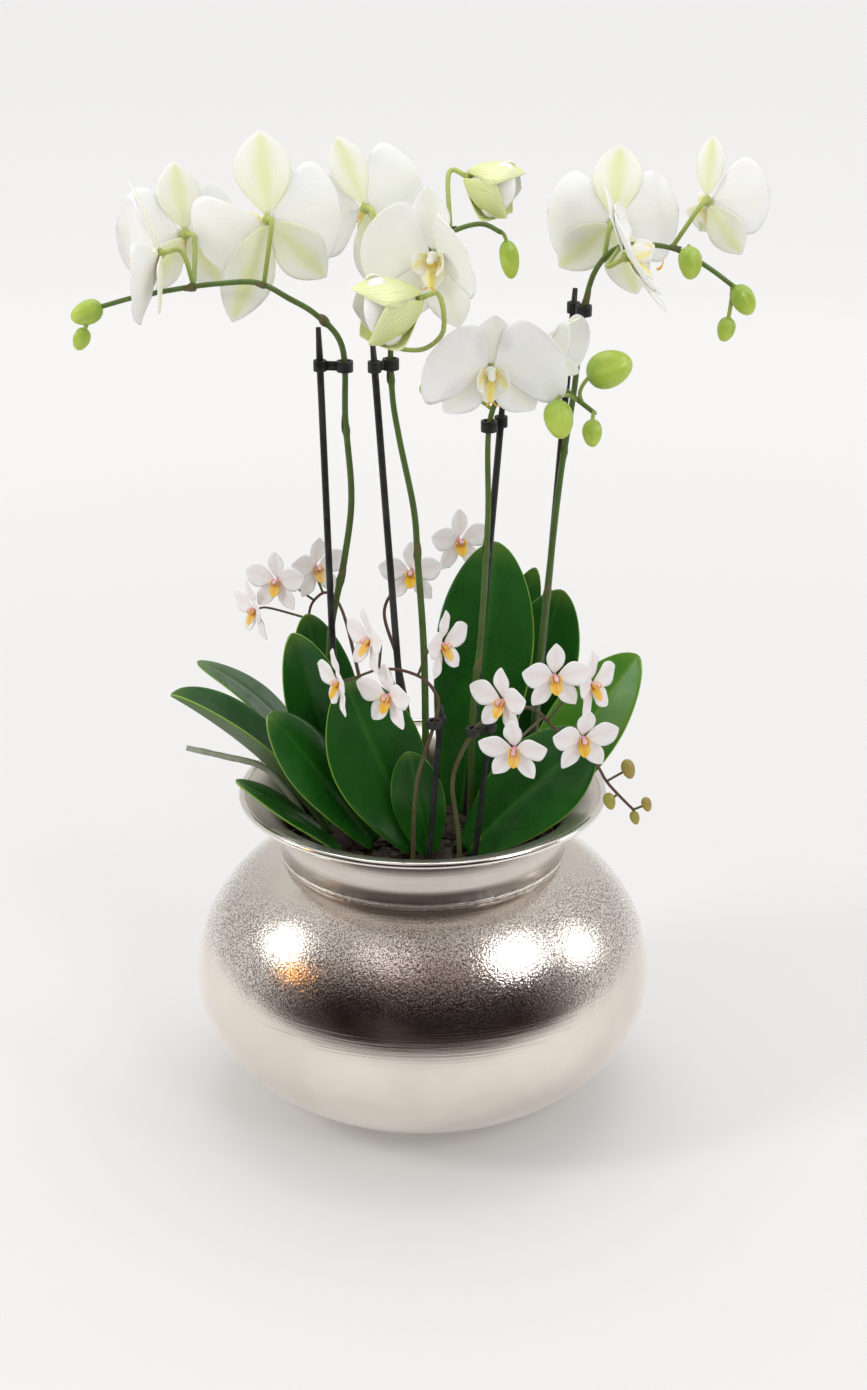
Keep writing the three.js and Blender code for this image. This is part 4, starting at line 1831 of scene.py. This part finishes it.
def build_stake(name: str, ends: tuple[Point, Point], radius: float, looks: Finishes) -> None:
    """Builds a stake with a rounded top.

    Args:
        name: of its CAD node.
        ends: its foot and its top.
        radius: its radius.
        looks: the shared materials.
    """
    foot, top = vec(ends[0]), vec(ends[1])
    mesh = new_mesh()
    add_sweep(
        mesh, [foot.lerp(top, i / 20) for i in range(21)], lambda v: radius * (0.72 if v > 0.99 else 1.0), 16
    )
    make_piece(name, mesh, [looks.plastic], [name])


def build_clip(
    name: str,
    stake: tuple[Point, Point],
    rows: Sequence[Vector],
    height: float,
    hold: float,
    grip: float,
    tall: float,
    looks: Finishes,
) -> None:
    """Builds a clip: a loop on the stake, a wider one round the stem and the web between.

    Args:
        name: of its CAD node.
        stake: the stake's foot and top.
        rows: the stem's stations.
        height: of its middle.
        hold: the stake's radius.
        grip: the stem's radius.
        tall: its height.
        looks: the shared materials.
    """
    post = at_height([vec(stake[0]), vec(stake[1])], height)
    held = at_height(rows, height)
    mesh = new_mesh()
    for centre, inner, outer in ((post, hold + 0.3, hold + 2.0), (held, grip + 0.8, grip + 2.6)):
        loop = spin_outline(
            [(inner, -tall / 2), (outer, -tall / 2), (outer, tall / 2), (inner, tall / 2)], 28, True
        )
        bmesh.ops.bevel(
            loop,
            geom=[
                e for e in loop.edges if abs(
                    e.verts[0].co.z - e.verts[1].co.z
                ) < 1e-4 and e.calc_face_angle(0) > 1
            ],
            offset=0.4, segments=2, affect="EDGES", profile=0.5, material=-1,
        )
        bmesh.ops.translate(loop, verts=loop.verts, vec=centre)
        spare = bpy.data.meshes.new("clip loop")
        loop.to_mesh(spare)
        loop.free()
        mesh.from_mesh(spare)
        bpy.data.meshes.remove(spare)
    span = held - post
    web = bmesh.ops.create_cube(mesh, size=1.0)["verts"]
    reach = max(1.0, span.length - hold - grip - 2.0)
    middle = post + span.normalized() * (hold + 1.2 + reach / 2)
    bmesh.ops.scale(mesh, vec=(reach, 2.2, tall * 0.8), verts=web)
    turn = Matrix.Rotation(math.atan2(span.y, span.x), 4, "Z")
    bmesh.ops.transform(mesh, matrix=Matrix.Translation(middle) @ turn, verts=web)
    make_piece(name, mesh, [looks.plastic], [name])


@dataclass(frozen=True)
class ShortSpike:
    """A short stem with small flowers, and its stake and clip if it has them.

    Attributes:
        name: which of the short spikes it is.
        path: points that the stem passes.
        blooms: where its flowers stand.
        buds: centre and radius of each bud.
        stake: foot and top of its stake.
        clip: height of the clip.
    """

    name: str
    path: tuple[Point, ...]
    blooms: tuple[Stance, ...]
    buds: tuple[tuple[Point, float], ...] = ()
    stake: tuple[Point, Point] | None = None
    clip: float = 0.0

    def build(self, looks: Finishes, luck: random.Random) -> None:
        """Builds every piece of the spike.

        Args:
            looks: the shared materials.
            luck: the random source.
        """
        rows = smooth_path([vec(point) for point in self.path], 84)
        upper = rows[42:]
        stem = new_mesh()
        add_sweep(stem, rows, lambda v: 2.0 - 1.1 * v, 10)
        for stance in self.blooms:
            seat = nearest(upper, vec(stance.centre))
            line = smooth_path([seat, stance.behind(6), stance.behind(1.2)], 14)
            add_sweep(stem, line, lambda v: 0.9 - 0.1 * v, 8)
        for centre, _ in self.buds:
            spot = vec(centre)
            add_sweep(stem, smooth_path([nearest(upper, spot), spot], 5), lambda v: 0.8, 8)
        make_piece(
            f"small_spike_{self.name}_stem",
            stem,
            [looks.small_stem],
            [f"small_spike_{self.name}"],
        )
        if self.buds:
            buds = new_mesh()
            for centre, radius in self.buds:
                add_ball(buds, vec(centre), radius, 1.3, Vector((0.3, -0.3, -1)), 0.1, 0.25, 16)
            make_piece(f"small_spike_{self.name}_buds", buds, [looks.small_bud])
        for i, stance in enumerate(self.blooms):
            self.build_bloom(f"small_flower_{self.name}_{i + 1}", stance, looks, luck)
        if self.stake:
            build_stake(f"small_stake_{self.name}", self.stake, 1.8, looks)
            build_clip(f"small_clip_{self.name}", self.stake, rows, self.clip, 1.8, 2.3, 5.0, looks)

    def build_bloom(self, name: str, stance: Stance, looks: Finishes, luck: random.Random) -> None:
        """Builds one small flower.

        Args:
            name: of the flower.
            stance: where it stands.
            looks: the shared materials.
            luck: the random source.
        """
        place = stance.matrix()
        tepals = new_mesh()
        for angle, side in ((90, False), (162, True), (18, True), (234, False), (306, False)):
            shape = Blade(
                21, 17 if side else 11.5, rise=16 + luck.uniform(-4, 4), curl=-12 + luck.uniform(-8, 8),
                neck=0.07,
                blunt=0.75, start=1.5, ruffle=0.35, groove=0.3, cup=0.08, columns=10, rows=14,
            )
            spin = Matrix.Rotation(math.radians(angle - 90 + luck.uniform(-3, 3)), 4, "Z")
            shape.add_to(
                tepals,
                place @ Matrix.Translation((0, 0, 1.1 if side else -0.9)) @ spin,
                phase=luck.uniform(0, 6),
            )
        make_piece(
            f"{name}_petals",
            tepals,
            [looks.small_front, looks.small_back],
            (),
            Thickening(0.5),
        )
        lip = new_mesh()
        spin = place @ Matrix.Rotation(math.pi, 4, "Z")
        Blade(
            11.5, 7.5, rise=56, curl=-30, neck=0.3, blunt=0.6, cup=0.35, fold=-0.3, start=0.8
        ).add_to(lip, spin)
        for side in (-1, 1):
            ear = place @ Matrix.Rotation(side * math.radians(115), 4, "Z")
            Blade(
                6.5, 4.5, rise=62, curl=15, neck=0.3, cup=0.2, start=0.8, columns=5, rows=7
            ).add_to(lip, ear)
        make_piece(
            f"{name}_lip", lip, [looks.small_lip, looks.small_lip], (), Thickening(0.5)
        )
        column = new_mesh()
        add_sweep(
            column,
            smooth_path([place @ Vector((0, 0, -1.5)), place @ Vector((0, 0.3, 4.6))], 5),
            lambda v: 1.5,
            10,
        )
        add_ball(column, place @ Vector((0, 0, 4.8)), 1.7, 0.8, place.to_3x3() @ Vector((0, 0, 1)), detail=12)
        make_piece(f"{name}_column", column, [looks.small_column])


# ---------------------------------------------------------------- leaves and root


class Face(Enum):
    """The colour of a leaf's upper face."""

    DARK = "dark"
    YOUNG = "young"


@dataclass(frozen=True)
class Leaf:
    """A strap leaf between its foot and its tip.

    Attributes:
        base: its foot.
        tip: its end.
        width: at its widest.
        bow: the angle it bends through, negative arching over.
        roll: how far it is turned about its length.
        fold: V fold along its middle.
        peak: where it is widest.
        face: the colour of its upper face.
    """

    base: Point
    tip: Point
    width: float
    bow: float
    roll: float = 0.0
    fold: float = 0.0
    peak: float = 0.6
    face: Face = Face.DARK

    def build(self, name: str, looks: Finishes, luck: random.Random) -> None:
        """Builds the leaf.

        Args:
            name: of its CAD node.
            looks: the shared materials.
            luck: the random source.
        """
        run = vec(self.tip) - vec(self.base)
        half = math.radians(self.bow) / 2
        place = (
            Matrix.Translation(vec(self.base))
            @ Matrix.Rotation(math.atan2(run.y, run.x) - math.pi / 2, 4, "Z")
            @ Matrix.Rotation(math.asin(run.z / run.length), 4, "X")
            @ Matrix.Rotation(math.radians(self.roll), 4, "Y")
        )
        shape = Blade(
            run.length * half / math.sin(half), self.width, rise=-math.degrees(half),
            curl=2 * math.degrees(half),
            fold=self.fold, neck=0.3, peak=self.peak, blunt=0.55, ruffle=0.5, waves=1.5, groove=1.0,
            columns=14, rows=26,
        )
        mesh = new_mesh()
        shape.add_to(mesh, place, phase=luck.uniform(0, 6))
        top = looks.leaf_young if self.face is Face.YOUNG else looks.leaf_top
        make_piece(name, mesh, [top, looks.leaf_under], [name], Thickening(1.6), 1)


# ---------------------------------------------------------------- the arrangement

SOIL = 118.0  # how deep stems and stakes go
YOUNG = {"opening": 32.0, "curl": 75.0, "lip": False, "young": True}

TALL_SPIKES = (
    TallSpike(
        "left",
        path=(
            (-60, 31, SOIL), (-60, 31, 305), (-50, 30, 360), (-45, 28, 400), (-48, 25, 453), (-50, 21, 503),
            (-65, 9, 524),
            (-80, -2, 536), (-98, -9, 547), (-122, -11, 547), (-145, -11, 544), (-172, -12, 539),
            (-194, -13, 533),
        ),
        thick=2.7,
        joints=(9, 13, 16),
        blooms=(
            Bloom(
                Stance((-93, 12, 581), -165, 8, 1.1), (-96, -9, 546), right=Hang(-34, 47, rise=40),
                left=Hang(178, 42, rise=6), low_right=Hang(290, 58), low_left=Hang(225),
            ),
            Bloom(
                Stance((-157, -11, 565), -77, 7, 0.98), (-138, -11, 545), right=Hang(-27, rise=25),
                top=Hang(width=28, rise=10), low_left=Hang(216), low_right=Hang(327),
            ),
            Bloom(Stance((-147, 50, 565), -150, 5, 0.9), (-136, -11, 546)),
        ),
        buds=(Bud((-201, -13, 530), 8.5, (-1, 0, -0.4)), Bud((-205, -14, 514), 6, (-0.4, 0, -1))),
        stake=((-53, 25, SOIL), (-64, 25, 512)),
        clip=488,
    ),
    TallSpike(
        "middle",
        path=(
            (2, 8, SOIL), (1, 7, 301), (-3, 6, 368), (-5, 5, 399), (-14, 5, 446), (-18, 3, 472),
            (-19, 0, 507), (-17, 0, 530),
            (-6, 2, 552), (14, 8, 572), (36, 14, 578), (48, 18, 572),
        ),
        thick=2.7,
        joints=(11, 16),
        blooms=(
            Bloom(
                Stance((7, -28, 567), -14, 6, 0.92), (-6, 2, 552), left=Hang(157, rise=14),
                right=Hang(22, rise=34, curl=25), low_left=Hang(240, rise=-6), low_right=Hang(290, rise=0),
                top=Hang(width=25),
            ),
            Bloom(
                Stance((-35, 38, 583), -160, 5, 0.95, -18), (-17, 0, 533), top=Hang(width=25),
                right=Hang(rise=35),
                low_left=Hang(240, width=18), low_right=Hang(285, width=18),
            ),
            Bloom(
                Stance((-3, -54, 547), -75, 14, 0.92), (-19, 0, 507),
                via=((-10, -16, 508), (4, -42, 516), (13, -56, 530)), **YOUNG,
            ),
            Bloom(Stance((30, 40, 601), 78, 20, 0.78), (18, 10, 574), **YOUNG),
        ),
        buds=(Bud((53, 20, 555), 7, (0.15, 0, -1), 1.7),),
        stake=((-3, -8, SOIL), (-30, -6, 512)),
        clip=495,
    ),
    TallSpike(
        "front",
        path=(
            (30, 5, SOIL), (33, 5, 273), (37, 6, 312), (41, 5, 393), (43, 4, 464), (54, 2, 482),
            (70, -2, 488), (83, -8, 484),
            (95, -14, 476), (105, -18, 469),
        ),
        thick=2.6,
        joints=(9, 13),
        blooms=(
            Bloom(
                Stance((41, -26, 498), 6, 20, 0.93), (54, 2, 480), top=Hang(width=25),
                left=Hang(156, width=66),
                right=Hang(24, 47, 70),
                low_left=Hang(222, 38), low_right=Hang(318, 38),
            ),
            Bloom(Stance((76, 18, 503), 68, 8, 0.62), (66, -1, 487), opening=36, curl=24),
        ),
        buds=(
            Bud((113, -20, 497), 13, (1, 0, 0.4), 1.1), Bud((82, -39, 471), 10, (0.2, -0.6, -1)),
            Bud((103, -30, 460), 7, (0, -0.4, -1)), Bud((8, 18, 475), 9, (-1, 0, 0), 1.1),
        ),
        stake=((23, 16, SOIL), (50, 15, 470)),
        clip=455,
    ),
    TallSpike(
        "right",
        path=(
            (68, 31, SOIL), (70, 32, 190), (81, 37, 342), (88, 38, 416), (95, 37, 468), (101, 36, 526),
            (108, 34, 548),
            (120, 32, 560), (138, 31, 562), (156, 30, 559), (176, 28, 548), (190, 26, 538),
        ),
        thick=2.7,
        joints=(9, 13, 17),
        blooms=(
            Bloom(
                Stance((119, 56, 571), 166, 6, 0.98), (112, 33, 554), left=Hang(rise=35), right=Hang(2),
                low_right=Hang(320), low_left=Hang(252),
            ),
            Bloom(
                Stance((124, 6, 560), 82, -30, 0.9), (120, 32, 560), right=Hang(62, 34, 30),
                top=Hang(width=24),
                low_left=Hang(240), low_right=Hang(285, 34, 20),
            ),
            Bloom(
                Stance((175, 46, 586), 162, 4, 0.8), (152, 30, 560), right=Hang(rise=72), low_left=Hang(236),
                low_right=Hang(292, rise=50), top=Hang(width=22),
            ),
        ),
        buds=(
            Bud((197, 25, 529), 8.5, (0.6, 0, -1)), Bud((187, 24, 511), 6.5, (-0.2, 0, -1)),
            Bud((163, 20, 553), 8.5, (0.1, 0, -1)),
        ),
        stake=((66, 40, SOIL), (95, 45, 532)),
        clip=520,
    ),
)

SHORT_SPIKES = (
    ShortSpike(
        "front",
        path=(
            (-7, -57, SOIL), (-6, -58, 189), (-3, -60, 245), (8, -58, 284), (10, -60, 298), (2, -66, 314),
            (-12, -70, 322),
            (-26, -72, 324),
        ),
        blooms=(
            Stance((-31, -76, 344), -62, 0), Stance((-50, -74, 316), -66, 6), Stance((-20, -84, 311), -40, 6),
            Stance((12, -68, 338), 58, 0),
        ),
        stake=((-1, -52, SOIL), (12, -50, 291)),
        clip=282,
    ),
    ShortSpike(
        "right",
        path=(
            (24, -60, SOIL), (23, -60, 204), (19, -60, 245), (25, -59, 264), (35, -58, 281), (52, -62, 293),
            (68, -68, 296),
            (80, -72, 286), (93, -76, 276), (107, -80, 264), (113, -82, 254), (123, -84, 243),
            (130, -85, 236),
        ),
        blooms=(
            Stance((49, -80, 306), -38, 0), Stance((80, -88, 325), 10, 4), Stance((103, -72, 314), 55, 0),
            Stance((56, -98, 282), -12, 18), Stance((97, -98, 289), 14, 10),
        ),
        buds=(((126, -87, 264), 4.8), ((115, -88, 243), 4.2), ((138, -86, 240), 3.6), ((131, -86, 231), 3.4)),
        stake=((26, -50, SOIL), (44, -52, 292)),
        clip=277,
    ),
    ShortSpike(
        "left",
        path=(
            (-30, 62, SOIL), (-32, 64, 190), (-46, 90, 270), (-58, 104, 306), (-66, 107, 311),
            (-75, 108, 303), (-78, 108, 292),
        ),
        blooms=(
            Stance((-113, 106, 299), -60, 5), Stance((-98, 102, 321), -20, 0), Stance((-72, 110, 328), 30, 0)
        ),
        buds=(((-84, 108, 278), 3.6),),
    ),
    ShortSpike(
        "back",
        path=(
            (-2, 66, SOIL), (-4, 68, 190), (-16, 88, 265), (-26, 98, 302), (-16, 100, 318), (4, 100, 328),
            (18, 100, 332),
        ),
        blooms=(Stance((-8, 88, 332), -5, 0), Stance((24, 94, 352), 20, 0)),
    ),
)

LEAVES = (
    Leaf((24, 24, 183.7), (48, 64, 361), 74, 8, peak=0.62),
    Leaf((42, 56, 182.7), (93, 86, 320), 58, 10, 35),
    Leaf((64, 2, 183.6), (138, 8, 303), 54, -10, 45, 0.2, face=Face.YOUNG),
    Leaf((28, -40, 187.4), (108, -30, 264), 58, -16, 50),
    Leaf((-1, -34, 186.6), (-49, -29, 300), 68, 10, -50, peak=0.55),
    Leaf((5, -43, 184.3), (-9, -40, 256), 34, 6, -75, peak=0.55),
    Leaf((-30, -26, 186), (-97, -34, 279), 46, -8, -40),
    Leaf((-42, -4, 184.3), (-83, 2, 320), 42, 8, -62, 0.4),
    Leaf((-40, 50, 182.7), (-77, 60, 312), 46, 10, -40),
    Leaf((-66, 44, 180), (-149, 54, 281), 44, -60),
    Leaf((-62, 0, 181.9), (-161, -4, 280), 48, -26, 0, 0.7),
    Leaf((-50, -38, 182.3), (-118, -40, 236), 34, -20),
    Leaf((26, 76, 180.9), (76, 118, 325), 32, 6, 40),
)

ROOT_PATH = ((-68, -16, 181.7), (-84, -16, 214), (-102, -16, 235), (-126, -15, 242), (-151, -15, 248))


def build_root(looks: Finishes) -> None:
    """Builds the aerial root.

    Args:
        looks: the shared materials.
    """
    mesh = new_mesh()
    line = smooth_path([vec(point) for point in ROOT_PATH], 50)
    add_sweep(mesh, line, lambda v: 2.6 - 0.8 * v, 12)
    for vert in mesh.verts:
        spot = vert.co * 0.2
        vert.co += 0.35 * Vector([noise.noise(spot + Vector((shift, 0, 0))) for shift in (0, 31, 67)])
    make_piece("air_root", mesh, [looks.root], ["air_root"])


# ---------------------------------------------------------------- studio


class Sight(Enum):
    """Which surfaces a light acts on."""

    MATT = "matt"
    GLOSS = "gloss"
    BOTH = "both"


@dataclass(frozen=True)
class Softbox:
    """A large soft light.

    Attributes:
        name: what it is called.
        place: where it hangs, in metres.
        size: its two sides, in metres.
        power: in watts.
        colour: of its light.
        sight: it lights matt surfaces, is mirrored in glossy ones, or both.
    """

    name: str
    place: Point
    size: tuple[float, float]
    power: float
    colour: Colour = (1.0, 1.0, 1.0)
    sight: Sight = Sight.MATT

    def build(self, target: Vector) -> None:
        """Hangs the light.

        Args:
            target: where it points.
        """
        data = bpy.data.lights.new(self.name, "AREA")
        data.shape = "RECTANGLE"
        data.size, data.size_y = self.size
        data.energy = self.power
        data.color = self.colour
        lamp = bpy.data.objects.new(self.name, data)
        bpy.context.scene.collection.objects.link(lamp)
        lamp.visible_diffuse = self.sight is not Sight.GLOSS
        lamp.visible_glossy = self.sight is not Sight.MATT
        lamp.location = self.place
        lamp.rotation_euler = (target - Vector(self.place)).to_track_quat("-Z", "Y").to_euler()


@dataclass(frozen=True)
class Studio:
    """Floor, light and camera.

    Attributes:
        floor_half: half the floor's side, in metres.
        camera: the camera's place, in metres.
        tilt: how far it looks down, in degrees.
        lens: its focal length over a 36 mm long side, in millimetres.
        target: where the lights point, in metres.
        boxes: the soft lights.
    """

    floor_half: float = 40.0
    camera: Point = (0.007, -1.5206, 0.8744)
    tilt: float = 21.4
    lens: float = 66.04
    target: Point = (0.0, 0.0, 0.3)
    boxes: tuple[Softbox, ...] = (
        Softbox("key", (-1.75, -0.75, 1.5), (0.5, 0.6), 14.0, (1.0, 0.98, 0.95)),
        Softbox("fill", (0.85, -1.6, 1.5), (0.5, 0.42), 6.0, (1.0, 0.97, 0.94)),
        Softbox("side", (1.55, -1.0, 1.4), (0.25, 0.5), 3.0),
        Softbox("above", (0.1, 0.5, 1.9), (1.6, 1.2), 11.0, (1.0, 1.0, 1.0), Sight.BOTH),
        Softbox("left window", (-1.6, 0.05, 1.18), (0.38, 0.42), 4.5, (0.98, 1.0, 0.97), Sight.GLOSS),
        Softbox("middle window", (1.2, -0.54, 1.45), (0.62, 0.5), 7.5, (1.0, 1.0, 1.0), Sight.GLOSS),
        Softbox("soft window", (-0.5, -0.85, 1.7), (0.8, 0.45), 0.8, (1.0, 0.96, 0.97), Sight.GLOSS),
        Softbox("right window", (1.7, 0.25, 0.9), (0.32, 0.5), 3.5, (0.98, 1.0, 0.97), Sight.GLOSS),
        Softbox("lamp", (-1.6, -0.44, 0.98), (0.14, 0.14), 0.9, (1.0, 0.40, 0.04), Sight.GLOSS),
    )

    def build(self) -> None:
        """Builds the floor, the lights, the surroundings and the camera."""
        self.build_floor()
        for box in self.boxes:
            box.build(Vector(self.target))
        self.build_world()
        data = bpy.data.cameras.new("camera")
        data.sensor_fit = "AUTO"
        data.sensor_width = 36.0
        data.lens = self.lens
        data.clip_end = 200.0
        camera = bpy.data.objects.new("camera", data)
        bpy.context.scene.collection.objects.link(camera)
        camera.location = self.camera
        camera.rotation_euler = (math.radians(90 - self.tilt), 0.0, 0.0)
        bpy.context.scene.camera = camera
        bpy.context.scene.view_settings.view_transform = "Standard"

    def build_floor(self) -> None:
        """A plain pale floor, darker in reflections in front of the urn."""
        mesh = new_mesh()
        bmesh.ops.create_grid(mesh, x_segments=2, y_segments=2, size=self.floor_half)
        data = bpy.data.meshes.new("floor")
        mesh.to_mesh(data)
        mesh.free()
        floor = bpy.data.objects.new("floor", data)
        bpy.context.scene.collection.objects.link(floor)
        material, graph, surface = start_material("floor")
        place = graph.add("ShaderNodeTexCoord").outputs["Object"]
        depth = graph.add("ShaderNodeSeparateXYZ", Vector=place).outputs["Y"]
        mirrored = graph.add("ShaderNodeLightPath").outputs["Is Glossy Ray"]
        far = graph.times(graph.ramp(depth, -0.95, -0.3, 1.0, 0.0), mirrored)
        soft = graph.noise(place, 3.0, 2.0)
        pale = graph.mix(graph.times(soft, 0.06), paint((0.67, 0.662, 0.65)), paint((0.61, 0.60, 0.58)))
        apply(graph, surface, Base_Color=graph.mix(far, pale, paint((0.05, 0.03, 0.025))), Roughness=0.7)
        seen = graph.add("ShaderNodeLightPath").outputs["Is Camera Ray"]
        lift = graph.times(graph.minus(mirrored, far), 0.26)
        away = graph.add("ShaderNodeVectorMath", {"operation": "LENGTH"}, Vector=place).outputs["Value"]
        glow = graph.plus(graph.times(seen, graph.ramp(away, 0.3, 2.3, 0.13, 0.38)), lift)
        apply(graph, surface, Emission_Color=paint((1.0, 0.995, 0.985)), Emission_Strength=glow)
        data.materials.append(material)

    def build_world(self) -> None:
        """Even pale surroundings to the camera, a room with a dark side towards the front in reflections."""
        world = bpy.data.worlds.new("surroundings")
        world.use_nodes = True
        world.node_tree.nodes.clear()
        graph = Graph(world.node_tree)
        place = graph.add("ShaderNodeTexCoord").outputs["Generated"]
        split = graph.add("ShaderNodeSeparateXYZ", Vector=place)
        seen = graph.add("ShaderNodeLightPath")
        front = graph.ramp(split.outputs["Y"], 0.25, -0.75)
        low = graph.ramp(split.outputs["Z"], 0.80, 0.48)
        patchy = graph.ramp(graph.noise(place, 2.4, 2.0), 0.3, 0.55, 0.75, 1.0)
        dark = graph.times(graph.times(front, low), patchy)
        walls = graph.mix(front, paint((0.74, 0.72, 0.70)), paint((0.27, 0.205, 0.185)))
        room = graph.mix(dark, walls, paint((0.012, 0.006, 0.005)))
        lit = graph.mix(seen.outputs["Is Glossy Ray"], paint((0.70, 0.705, 0.72)), room)
        pale = graph.mix(seen.outputs["Is Camera Ray"], lit, paint((0.85, 0.86, 0.88)))
        back = graph.add("ShaderNodeBackground", Color=pale, Strength=1.0)
        output = graph.add("ShaderNodeOutputWorld")
        graph.feed(output.inputs["Surface"], back.outputs[0])
        bpy.context.scene.world = world


def main() -> None:
    """Builds the arrangement and its studio."""
    logging.basicConfig(level=logging.INFO)
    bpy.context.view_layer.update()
    luck = random.Random(23)
    looks = Finishes()
    Urn().build(looks)
    BarkBed().build(looks)
    LOG.info("urn and bark built")
    for spike in TALL_SPIKES:
        spike.build(looks, luck)
    for spike in SHORT_SPIKES:
        spike.build(looks, luck)
    LOG.info("%d tall and %d short spikes built", len(TALL_SPIKES), len(SHORT_SPIKES))
    for i, leaf in enumerate(LEAVES):
        leaf.build(f"leaf_{i + 1:02d}", looks, luck)
    build_root(looks)
    LOG.info("%d leaves built", len(LEAVES))
    Studio().build()


if __name__ == "__main__":
    main()
